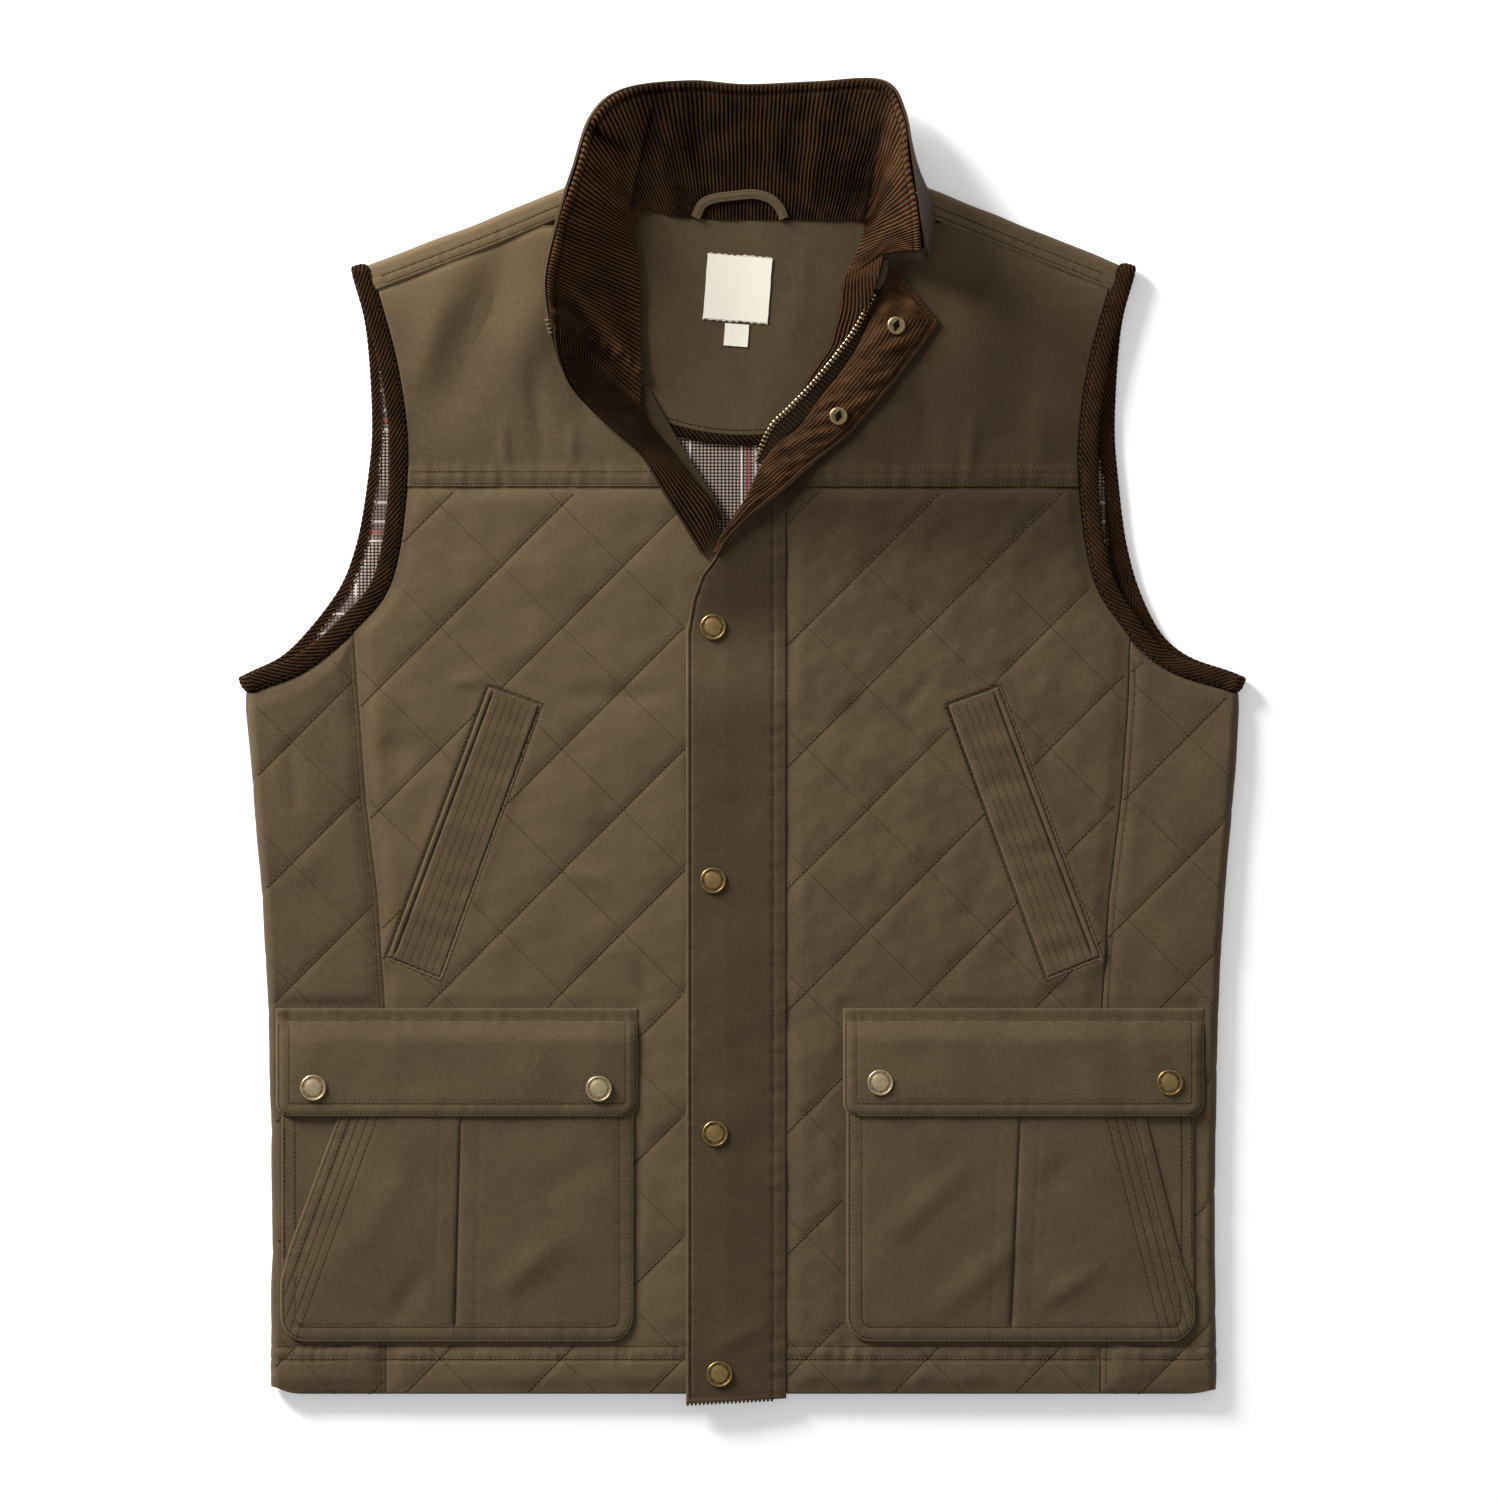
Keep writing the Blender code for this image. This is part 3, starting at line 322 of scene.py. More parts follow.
# Back yoke: plain canvas above the quilted back, folded forward over each shoulder to a seam on the front.
# The seam allowance is pressed up under it and held by two rows of topstitching.
NECK_HALF = 105.5
NECK_POINT_Y = 318.0
SHOULDER_SLOPE = 0.4
BACK_NECK_Y = 302.0
BACK_NECK_RISE = 11.0
FORWARD_SEAM_DROP = 17.0
FRONT_Z = 7.0
FRONT_TOP = 9.6
FOLD_INNER = 1.8
FOLD_REACH = 4.8
FOLD_MIDDLE = (FRONT_Z + BACK_WALL) / 2
TAB_FROM = NECK_HALF - 4.0
TAB_REACH = 10.8
TAB_ROWS = (8.4, 3.8)
TAB_STEPS = (0.8, 1.8, 3, 3.8, 4.6, 5.4, 6.4, 7.6, 8.4, 9.2, 9.8, 10.3, 10.6, TAB_REACH)


def shoulder_y(half):
    return NECK_POINT_Y - (half - NECK_HALF) * SHOULDER_SLOPE


def back_neck_y(x):
    return BACK_NECK_Y + BACK_NECK_RISE * (x / NECK_HALF) ** 2


def drift(x, y, seed, size):
    """Soft unevenness of laid cloth, about -1 to 1, in waves of about the given size."""
    rng = np.random.default_rng(seed)
    total = np.zeros(np.broadcast(x, y).shape)
    for _ in range(8):
        angle, stretch, phase = rng.uniform(0, math.pi), rng.uniform(0.7, 1.7), rng.uniform(0, 2 * math.pi)
        run = x * math.cos(angle) + y * math.sin(angle)
        total += np.sin(2 * math.pi * run / (size * stretch) + phase)
    return total / 4


def hump(distance, half):
    """A smooth bump, 1 at no distance and nearly 0 at twice its half width."""
    return np.exp(-(distance / half) ** 2)


def pucker(along, off, seed, size=6.0, reach=4.0):
    """Short ripples that a row of stitches draws up in the cloth on both its sides."""
    return drift(along, 0 * along, seed, size) * hump(off, reach)


def thread_cotton(name, colour):
    """Mercerised sewing thread: two-ply cotton, a little brighter than the cloth it is dyed to match."""
    made, tree, shader, place = plain_material(name)
    ply_mm = 0.8
    grain = add(tree, "TexNoise", {}, {"Vector": place, "Scale": 1 / (ply_mm * MM)})
    tint = add(tree, "Mix", {"data_type": "RGBA"},
               {0: grain, 6: [c * 0.7 for c in linear(colour)[:3]] + [1], 7: linear(colour)})
    feed(tree, shader, {"Base Color": tint.outputs[2], "Roughness": 0.9, "Specular IOR Level": 0.05})
    return made


THREAD = thread_cotton("olive_cotton_thread", "#4A3C27")
# A near-black copy of the thread material, for the dots of painted shade at needle holes and in the socket
# slots.
PAINTED_HOLE_SHADE = thread_cotton("painted_needle_hole_shade", "#120C06")


def run_lengths(path):
    """Length along a path up to each of its points."""
    return np.append(0, np.cumsum(np.linalg.norm(np.diff(path, axis=0), axis=1)))


def at_marks(marks, lengths, path):
    """Points of a path at the given lengths along it."""
    return np.stack([np.interp(marks, lengths, path[:, n]) for n in range(path.shape[1])], axis=1)


def trace(points, step=1.0):
    """A path of close points along straight runs."""
    given = np.array(points, float)
    lengths = run_lengths(given)
    return at_marks(np.linspace(0, lengths[-1], max(int(lengths[-1] / step), 2)), lengths, given)


def runs(path, keep):
    """The stretches of a path where keep is true."""
    breaks = np.flatnonzero(np.diff(keep.astype(int))) + 1
    parts = zip(np.split(path, breaks), np.split(keep, breaks))
    return [part for part, flags in parts if flags[0] and len(part) > 3]


STITCH_TIPS = ((-0.5, 0, -0.3), (0.5, 0, -0.3))
STITCH_RING = ((0.5, -0.2), (0, 0.5), (-0.5, -0.2))
STITCH_BODY = np.array([STITCH_TIPS[0], *[(-0.3, w, h) for w, h in STITCH_RING],
                        *[(0.3, w, h) for w, h in STITCH_RING], STITCH_TIPS[1]])
STITCH_FACES = np.array([[0, 1 + (n + 1) % 3, 1 + n, 1 + n] for n in range(3)]
                        + [[1 + n, 1 + (n + 1) % 3, 4 + (n + 1) % 3, 4 + n] for n in range(3)]
                        + [[7, 4 + n, 4 + (n + 1) % 3, 4 + (n + 1) % 3] for n in range(3)])
HOLE_BODY = np.array([(-0.5, 0, 0), (0, -0.5, 0), (0.5, 0, 0), (0, 0.5, 0), (0, 0, 0.5), (0, 0, -0.5)])
HOLE_FACES = np.array([[n, (n + 1) % 4, 4, 4] for n in range(4)] + [[(n + 1) % 4, n, 5, 5] for n in range(4)])


def scatter(body, sides, centre, along, over, sizes):
    """Copies of a small form, each turned to its own directions."""
    along = unit(along)
    beside = unit(np.cross(over, along))
    upward = np.cross(along, beside)
    length, width, height = sizes
    points = (centre[:, None] + along[:, None] * body[None, :, :1] * length
              + beside[:, None] * body[None, :, 1:2] * width + upward[:, None] * body[None, :, 2:] * height)
    shifted = sides[None] + np.arange(len(centre))[:, None, None] * len(body)
    corners = shifted.reshape(-1, 4).tolist()
    faces = [[f for n, f in enumerate(face) if f not in face[:n]] for face in corners]
    return points.reshape(-1, 3), faces, np.zeros(points.shape[0] * points.shape[1])


def sew(name, paths, pitch=2.7, width=0.6, overs=None, thread=THREAD):
    """Rows of machine stitches along paths on the cloth, with a small near-black solid between each two:
    painted shade of the needle hole.
    """
    mids, turns, tops, holes = [], [], [], []
    for number, path in enumerate(paths):
        length = run_lengths(path)
        count = int(length[-1] / pitch)
        if count < 2:
            continue
        over = np.array([[0, 0, 1.0]] * len(path)) if overs is None else overs[number]
        marks = np.arange(count + 1) * pitch
        spots = at_marks(marks, length, path)
        faces_up = at_marks(marks, length, over)
        mids.append((spots[1:] + spots[:-1]) / 2)
        turns.append(spots[1:] - spots[:-1])
        tops.append((faces_up[1:] + faces_up[:-1]) / 2)
        holes.append(spots[:-1])
    mids, turns, tops, holes = (np.vstack(rows) for rows in (mids, turns, tops, holes))
    lifted = mids + tops * width * 0.25
    bars = scatter(STITCH_BODY, STITCH_FACES, lifted, turns, tops, (pitch * 0.8, width, width * 0.7))
    # The dots are painted shade of the needle holes.
    dots = scatter(HOLE_BODY, HOLE_FACES, holes, turns, tops, (pitch * width * 0.8, width * 1.7, width * 1.1))
    piece(name + "_stitches", [bars], thread)
    piece(name + "_painted_hole_shade", [dots], PAINTED_HOLE_SHADE)


shoulder_across = np.array([SHOULDER_SLOPE, 1]) / math.hypot(SHOULDER_SLOPE, 1)
tab_shares = np.linspace(0, 1, 14)
yoke_columns = ([(LEFT, s) for s in tab_shares[::-1]] + [(0, x) for x in np.linspace(-70, 70, 15)]
                + [(RIGHT, s) for s in tab_shares])
yoke_rows = []
for t in np.linspace(0, 1, 26):
    row = []
    for side, where in yoke_columns:
        y = YOKE_SEAM_Y
        for _ in range(8):
            if side == 0:
                x, top = where, back_neck_y(where)
            else:
                reach = arm_half(PANEL_BACK, y) - 1.5 * t
                half = TAB_FROM + where * (reach - TAB_FROM)
                x = side * (half - shoulder_across[0] * FOLD_REACH * t)
                top = shoulder_y(half) - shoulder_across[1] * FOLD_REACH
            y = YOKE_SEAM_Y + t * (top - YOKE_SEAM_Y)
        row.append((x, y, 0.0))
    yoke_rows.append(row)
yoke_under = np.array(yoke_rows)
yoke_shells = [shell(yoke_under, yoke_under + [0, 0, BACK_WALL], flip=True)]
tab_lines = []
fold_turns = np.radians(np.linspace(0, 180, 15))
for side in (LEFT, RIGHT):
    half = np.linspace(TAB_FROM, arm_half(PANEL_FRONT, shoulder_y(214)) + 3.5, 96)
    foot = np.stack([side * (half - shoulder_across[0] * FOLD_REACH),
                     shoulder_y(half) - shoulder_across[1] * FOLD_REACH], axis=1)
    ahead = np.array([side * shoulder_across[0], shoulder_across[1]])
    outer, inner, worn = [], [], []
    for angle in fold_turns:
        radius = FOLD_INNER + BACK_WALL + (FRONT_TOP - FRONT_Z - BACK_WALL) * angle / math.pi
        uneven = 0.35 * drift(half, half * 0 + angle * 6, 5 + side, 34) * math.sin(angle)
        for rows, r in ((outer, radius + uneven), (inner, FOLD_INNER + 0 * half)):
            plan = foot + ahead * (r * math.sin(angle))[:, None]
            rows.append(np.column_stack([plan, FOLD_MIDDLE - r * math.cos(angle)]))
        worn.append(0.0)
    for amount in TAB_STEPS:
        plan = foot - ahead * amount
        rise = 0.5 * min(amount / 4, 1) + 0.22 * pucker(half, amount - 6.0, 11 + side)
        for row in TAB_ROWS:
            rise = rise - 0.25 * math.exp(-((amount - row) / 0.9) ** 2)
        turned_down = 0.5 * max(amount - 9.4, 0) ** 2
        outer.append(np.column_stack([plan, FRONT_TOP + rise - turned_down]))
        inner.append(np.column_stack([plan, FRONT_Z + 0 * half]))
        worn.append(0.6 * max(1 - (TAB_REACH - amount) / 1.5, 0))
        if amount in TAB_ROWS:
            tab_lines.append(outer[-1][2:-3])
    outer, inner = np.array(outer), np.array(inner)
    # Painted light, added to the worn share of the tabs: over all the left tab, and on the right tab near the
    # neck, where the collar's shadow falls.
    lit = np.full(len(half), 1.35) if side == LEFT else 2.0 * (1 - ease(half - NECK_HALF, 60))
    worn = np.array(worn)[:, None] + lit[::side]
    yoke_shells.append(shell(outer[:, ::side], inner[:, ::side], flip=True, edge=worn))
tab_length = math.pi * (FOLD_INNER + BACK_WALL / 2) + TAB_REACH
is_tab = np.array([side != 0 for side, _ in yoke_columns])
yoke_cut = np.vstack([yoke_under, yoke_under[-1:] + is_tab[:, None] * [0, tab_length, 0]])
cloth("back_yoke", yoke_shells, CANVAS, yoke_cut)
sew("shoulder", tab_lines)

# Back lining: plain-woven cotton in a fine dark and white check, crossed by white, red and dark stripes.
# It covers the inside of the back and shows in the front opening and in the armholes.
LINING_Z = 3.7
LINING_TOP = 4.7
# how far the lining is tucked in under the binding at the foot of the right armhole
LINING_TUCK = 6.0
LINING_TUCK_Y = 66
SIDE_FOLD = ((-376, 271.8), (-281, 270.5), (-178, 272), (-126, 274), (-74, 277.5), (-22, 282), (60, 287))
STRIPE_REPEAT = 64.0
CHECK_STRIPES = {
    "X": ((-30.8, 0.5, "#E9E1D9"), (-1.2, 0.5, "#E9E1D9"), (2.2, 1.2, "#7A2A2C"), (6.8, 0.5, "#D9CFC6")),
    "Y": ((131.0, 16.0, "#4A3D38"), (137.1, 0.7, "#CFC3B8"), (126.1, 0.7, "#CFC3B8"),
          (115.0, 0.7, "#CFC3B8"), (120.2, 1.1, "#8C3A33")),
}
# the stripes along y are only in the side parts of the lining, from this far out
STRIPED_SIDE = 120


def checked_cotton(name, dark, white):
    """Yarn-dyed plain weave: white threads float over a dark ground in dots, coloured ones in stripes."""
    made, tree, shader, place = plain_material(name)
    across_mm = 2.1  # the real dots stand 1.5 by 1.7 mm apart, drawn coarser so that they show
    along_mm = 1.9
    wave_turn = 0.314  # one wave of the texture, in its own units
    fibre_mm = 0.4
    columns = add(tree, "TexWave", {"bands_direction": "X"},
                  {"Vector": place, "Scale": wave_turn / (across_mm * MM)})
    lines = add(tree, "TexWave", {"bands_direction": "Y"},
                {"Vector": place, "Scale": wave_turn / (along_mm * MM)})
    dots = add(tree, "Math", {"operation": "MULTIPLY"},
               {0: columns.outputs["Fac"], 1: lines.outputs["Fac"]})
    sharper = add(tree, "Math", {"operation": "MULTIPLY_ADD", "use_clamp": True},
                  {0: dots, 1: 1.9, 2: -0.15})
    colour = add(tree, "Mix", {"data_type": "RGBA"},
                 {0: sharper, 6: linear(dark), 7: linear(white)}).outputs[2]
    apart = add(tree, "SeparateXYZ", {}, {0: place})
    outward = add(tree, "Math", {"operation": "ABSOLUTE"}, {0: apart.outputs["X"]})
    beside = add(tree, "Math", {"operation": "GREATER_THAN"}, {0: outward, 1: STRIPED_SIDE * MM})
    for axis, stripes in CHECK_STRIPES.items():
        for middle, half, code in stripes:
            low = (middle - STRIPE_REPEAT / 2) * MM
            high = (middle + STRIPE_REPEAT / 2) * MM
            wrapped = add(tree, "Math", {"operation": "WRAP"}, {0: apart.outputs[axis], 1: high, 2: low})
            here = add(tree, "Math", {"operation": "COMPARE"}, {0: wrapped, 1: middle * MM, 2: half * MM})
            if axis == "Y":
                here = add(tree, "Math", {"operation": "MULTIPLY"}, {0: here, 1: beside})
            share = add(tree, "Math", {"operation": "MULTIPLY"}, {0: here, 1: 0.6})
            colour = add(tree, "Mix", {"data_type": "RGBA"},
                         {0: share, 6: colour, 7: linear(code)}).outputs[2]
    fibre = add(tree, "TexNoise", {}, {"Vector": place, "Scale": 1 / (fibre_mm * MM)})
    relief = add(tree, "Bump", {}, {"Strength": 0.3, "Distance": 0.15 * MM, "Height": fibre})
    feed(tree, shader, {"Base Color": colour, "Normal": relief, "Roughness": 0.85})
    return made


lining_edge = ARM_BACK + inward(ARM_BACK) * (BINDING_BACK - 1.5)
ts = np.linspace(0, 1, 90)[:, None]
shares = np.linspace(-1, 1, 70)[None, :]
ys = 0 * ts * shares
for _ in range(10):
    xs = shares * np.minimum(read(SIDE_FOLD, ys) - FOLD_REACH - 1, arm_half(lining_edge, ys))
    top = np.minimum(back_neck_y(xs) - 1, shoulder_y(np.abs(xs)) - FOLD_REACH - 6)
    ys = HEM_Y + 6 + ts * (top - HEM_Y - 6)
xs = xs - LINING_TUCK * np.clip(shares, 0, 1) ** 8 * hump(ys - LINING_TUCK_Y, 24)
lining_top = level(xs, ys, LINING_TOP + 0.12 * drift(xs, ys, 3, 40))
CHECKED_COTTON = checked_cotton("checked_lining_cotton", "#060302", "#B69E8E")
cloth("back_lining", [shell(lining_top, level(xs, ys, LINING_Z))], CHECKED_COTTON,
      level(xs, ys, 0))

# Inside yoke: a half-moon of canvas over the lining at the back neck, its foot bound with corduroy.
# The binding is cut on the bias, so its cords run slantwise, and one row of stitches holds it.
YOKE_TOP = 6.0
YOKE_Z = 5.0
YOKE_BINDING = 6.2
INSIDE_ROW = 2.6
INSIDE_HALF = 98
MOON_Y, MOON_DROP, MOON_HALF = 290, 114, 125
CORD_PITCH = 2.3
Fold = namedtuple("Fold", "x0 y0 x1 y1 width height")
INSIDE_FOLDS = (
    Fold(40, 300, 22, 205, 7, 0.8), Fold(62, 292, 44, 190, 9, -0.6), Fold(20, 296, 30, 240, 6, -0.5),
    Fold(-46, 290, -40, 190, 10, 0.6), Fold(10, 235, 16, 178, 8, 0.5), Fold(-20, 225, -26, 180, 7, -0.4),
)


def folds(x, y, rows):
    """Soft ridges and troughs, each fading out at both ends."""
    total = np.zeros(np.broadcast(x, y).shape)
    for row in rows:
        run = np.array([row.x1 - row.x0, row.y1 - row.y0])
        length = np.linalg.norm(run)
        run = run / length
        t = ((x - row.x0) * run[0] + (y - row.y0) * run[1]) / length
        off = (x - row.x0) * run[1] - (y - row.y0) * run[0]
        total += row.height * hump(off, row.width) * np.clip(1 - (2 * t - 1) ** 2, 0, 1)
    return total


def cords(distance, pitch=CORD_PITCH):
    """Height share of corduroy at a distance across its cords: round tops and narrow valleys."""
    return np.abs(np.sin(math.pi * distance / pitch)) ** 1.5


def corduroy_cloth(name, valley, crest):
    """Cut-pile cotton: painted highlight on the cords and painted shade in the valleys, by a per-point mark,
    with random patches where the pile lies differently.
    """
    made, tree, shader, place = plain_material(name)
    pile_mm = 0.7
    nap_mm = 13.0
    painted_cord_shade = add(tree, "Attribute", {"attribute_name": "painted_cord_shade"}, {})
    pile = add(tree, "TexNoise", {}, {"Vector": place, "Scale": 1 / (pile_mm * MM), "Detail": 2.0})
    nap_and_painted_shade = add(tree, "TexNoise", {}, {"Vector": place, "Scale": 1 / (nap_mm * MM), "Detail": 3.0})
    rough = add(tree, "Math", {"operation": "MULTIPLY_ADD"}, {0: pile, 1: 0.3, 2: -0.15})
    lying = add(tree, "Math", {"operation": "MULTIPLY_ADD"}, {0: nap_and_painted_shade, 1: 0.2, 2: -0.12})
    shade = add(tree, "Math", {"operation": "ADD"}, {0: rough, 1: lying})
    tone = add(tree, "Math", {"operation": "MULTIPLY_ADD", "use_clamp": True},
               {0: painted_cord_shade.outputs["Fac"], 1: 0.35, 2: shade})
    colour = add(tree, "Mix", {"data_type": "RGBA"}, {0: tone, 6: linear(valley), 7: linear(crest)})
    relief = add(tree, "Bump", {}, {"Strength": 0.5, "Distance": 0.3 * MM, "Height": pile})
    feed(tree, shader, {"Base Color": colour.outputs[2], "Normal": relief, "Roughness": 0.95,
                        "Specular IOR Level": 0.06, "Sheen Weight": 0.04, "Sheen Roughness": 0.5,
                        "Sheen Tint": linear("#8A6A52")})
    return made


# Near-black valley colour for painted shade between the cords, lighter crest colour for painted highlight on
# them.
CORDUROY = corduroy_cloth("brown_cotton_corduroy", "#050200", "#765235")
DARK_THREAD = thread_cotton("brown_cotton_thread", "#35261A")


def yoke_foot(x):
    return MOON_Y - MOON_DROP * np.sqrt(1 - (x / MOON_HALF) ** 2)


def inside_top(x, y):
    return YOKE_TOP + 0.25 * drift(x, y * 0.3, 17, 34) + folds(x, y, INSIDE_FOLDS)


def inside_painted_shade(x, y):
    """Share of painted shade on the inside yoke, more on the right."""
    return 0.25 + 0.25 * ease(x, 60)


xs = np.linspace(-INSIDE_HALF, INSIDE_HALF, 104)[None, :]
ts = np.linspace(0, 1, 56)[:, None]
ys = yoke_foot(xs) + ts * (back_neck_y(xs) + 3 - yoke_foot(xs))
xs = xs + 0 * ys
yoke_wall = shell(level(xs, ys, inside_top(xs, ys)), level(xs, ys, YOKE_Z))
cloth("inside_yoke", [yoke_wall], CANVAS, level(xs, ys, 0), nap_and_painted_shade=inside_painted_shade)
xs = np.linspace(-INSIDE_HALF, INSIDE_HALF, 420)[None, :]
drops = np.linspace(YOKE_BINDING, SEAM_GAP, 12)[:, None]
ys = yoke_foot(xs) - drops
xs = xs + 0 * ys
ribs = cords((xs - drops) / math.sqrt(2))
round_top = np.sqrt(np.clip(1 - (drops / 3.1 - 1.05) ** 2, 0, 1))
binding_top = level(xs, ys, YOKE_Z + 1.1 + 0.9 * round_top + 0.35 * ribs)
binding_wall = shell(binding_top, level(xs, ys, YOKE_Z), edge=0.75 * ribs - 0.22)
cloth("inside_yoke_binding", [binding_wall], CORDUROY, level(xs, ys, 0),
      mark="painted_cord_shade")
row_x = np.linspace(-70, 80, 300)
row_y = yoke_foot(row_x) + INSIDE_ROW
sew("inside_yoke", [level(row_x, row_y, inside_top(row_x, row_y))])

# Label and size tab: bare cream woven cotton, the label sewn flat to the inside yoke along its edges.
# Its cut edges fray into a short fringe above and below, and the tab hangs from under its foot.
LABEL_CENTRE = (-3.4, 260.0)
LABEL_SIZE = (37.2, 36.8)
LABEL_TURN = math.radians(-4.5)
TAB_CENTRE = (-4.2, 233.2)
TAB_SIZE = (13.8, 12.8)
LABEL_LIFT = 0.4
LABEL_WALL = 0.5
FRINGE_SIZE = (1.9, 0.4, 0.4)


def woven_label(name, colour):
    """Damask label cloth: close cotton weave with a satin side, cream, with fine cross ribs."""
    made, tree, shader, place = plain_material(name)
    rib_mm = 0.8
    run = add(tree, "Mapping", {}, {"Vector": place, "Scale": (0.3, 1, 1)})
    ribs = add(tree, "TexNoise", {}, {"Vector": run, "Scale": 1 / (rib_mm * MM), "Detail": 2.0})
    tint = add(tree, "Mix", {"data_type": "RGBA"},
               {0: ribs, 6: [c * 0.86 for c in linear(colour)[:3]] + [1], 7: linear(colour)})
    relief = add(tree, "Bump", {}, {"Strength": 0.4, "Distance": 0.15 * MM, "Height": ribs})
    feed(tree, shader, {"Base Color": tint.outputs[2], "Normal": relief, "Roughness": 0.65})
    return made


LABEL_CLOTH = woven_label("cream_woven_label", "#E5DFCE")
CREAM_THREAD = thread_cotton("cream_cotton_thread", "#E5DFCE")
turn = np.array([[math.cos(LABEL_TURN), -math.sin(LABEL_TURN)],
                 [math.sin(LABEL_TURN), math.cos(LABEL_TURN)]])
for node, centre, size, lift in (("label", LABEL_CENTRE, LABEL_SIZE, LABEL_LIFT),
                                 ("size_tab", TAB_CENTRE, TAB_SIZE, LABEL_LIFT * 0.8)):
    across, along = np.meshgrid(np.linspace(-0.5, 0.5, 40) * size[0], np.linspace(-0.5, 0.5, 40) * size[1])
    wavy = 0.25 * drift(along, across * 0, 8, 9) * (np.abs(across) / size[0] * 2) ** 8
    plan = np.stack([across + wavy, along], axis=-1) @ turn.T + centre
    z = inside_top(plan[..., 0], plan[..., 1]) + lift
    flat = np.dstack([plan, z])
    cloth(node, [shell(flat + [0, 0, LABEL_WALL], flat)], LABEL_CLOTH, flat)
    if node == "label":
        fringe_x = np.linspace(-0.5, 0.5, 75) * size[0]
        fray = 0.45 * drift(fringe_x, 0 * fringe_x, 4, 3)
        ends = []
        for edge_y in (-0.5, 0.5):
            spots = np.column_stack([fringe_x, edge_y * size[1] + fray]) @ turn.T + centre
            ends.append(np.column_stack([spots, inside_top(spots[:, 0], spots[:, 1]) + lift + 0.3]))
        spots = np.vstack(ends)
        sway = 0.25 * drift(spots[:, 0], spots[:, 1], 6, 4)
        lean = np.column_stack([sway, np.ones(len(spots)), 0 * sway])
        upward = np.tile([0, 0, 1.0], (len(spots), 1))
        hairs = scatter(STITCH_BODY, STITCH_FACES, spots, lean, upward, FRINGE_SIZE)
        piece("label_fringe", [hairs], CREAM_THREAD)

# Side panels: quilted canvas from the front side seam, round the fold at the side, to the back seam.
# Sewn to the fronts with a felled seam, one row of topstitching beside it, and hemmed at the foot.
SIDES = ((LEFT, "left"), (RIGHT, "right"))
HEM_ROWS = (-347.6, -355.1)
QUILT_FADE = 11
SIDE_PHASE = {LEFT: (-259.5, -259.8), RIGHT: (252, 258.5)}
QUILT_RISE = {LEFT: 2.0, RIGHT: 1.7}
SIDE_ROW = 3.0
FAINT_STITCH = 0.36
ROW_HALF = 0.8
HEM_TURN_UP = {LEFT: 7.0, RIGHT: 4.0}
RIM = (0, 0.35, 0.9, 1.7)
POCKET_BASE = 10.2
POCKET_TOP_Y = -170.0
POCKET_FOOT_Y = -345.0
POCKET_INNER = {LEFT: 63.0, RIGHT: 59.0}
POCKET_OUTER = {LEFT: 266.0, RIGHT: 259.5}
FLAP_TOP_Y = -153.5
SIDE_FOLDS = {LEFT: (Fold(262, 4, 256, -42, 5, -0.9), Fold(240, -60, 262, -84, 8, 0.6)),
              RIGHT: (Fold(238, 8, 262, -18, 7, -0.6), Fold(236, -120, 260, -150, 9, 0.5))}


def least(first, *others):
    """The least of several values at each place."""
    for other in others:
        first = np.minimum(first, other)
    return first


def spread(width, step):
    """Shares across a width, closer together at both rims, where the cloth rolls down."""
    rim = np.array(RIM) / width
    between = np.linspace(rim[-1], 1 - rim[-1], int(width / step) + 2)[1:-1]
    return np.concatenate([rim, between, 1 - rim[::-1]])


def rolled(distance, radius):
    """How far a folded edge has rolled down at a distance in from it."""
    short = np.clip(radius - distance, 0, radius)
    return radius - np.sqrt(radius ** 2 - short ** 2)


def hem_relief(x, y, seed):
    """The pressed hem: a shallow groove at each row of stitches, with puckers between."""
    total = (0.45 + 0.35 * drift(x, 0 * x, seed, 60)) * pucker(x, y - sum(HEM_ROWS) / 2, seed, 6.5, 6.0)
    for row in HEM_ROWS:
        total = total - 0.75 * hump(y - row, 1.1)
    return total


def quilting(slope, origin, low_x, high_x, low_y, high_y):
    """Plan paths of the quilting lines of one slope that cross a box."""
    lines = []
    values = [x - slope * y for x in (low_x, high_x) for y in (low_y, high_y)]
    first = math.ceil((min(values) - origin) / QUILT_PITCH)
    last = math.floor((max(values) - origin) / QUILT_PITCH)
    for n in range(first, last + 1):
        offset = origin + n * QUILT_PITCH
        lines.append(trace([(slope * low_y + offset, low_y), (slope * high_y + offset, high_y)]))
    return lines


def beside_row(rise, side, x, y, *top):
    """Rise of a quilted face just beside a row of stitches, where the thread lies over the groove."""
    across = rise(side, x - ROW_HALF, y, *top) + rise(side, x + ROW_HALF, y, *top)
    return (across + rise(side, x, y - ROW_HALF, *top) + rise(side, x, y + ROW_HALF, *top)) / 4


def side_seam(y):
    return read(SIDE_SEAM, y) + SEAM_GAP / 2


def side_edge(y):
    return side_seam(y) - 1.2


def side_centre(y):
    return read(SIDE_FOLD, y) - FOLD_REACH


def pocket_distance(side, half, y):
    """Plan distance of a spot from a pocket and its flap, 0 on them."""
    beside = np.maximum(np.maximum(POCKET_INNER[side] - half, half - POCKET_OUTER[side]), 0)
    return np.hypot(beside, np.maximum(np.maximum(POCKET_FOOT_Y - y, y - FLAP_TOP_Y), 0))


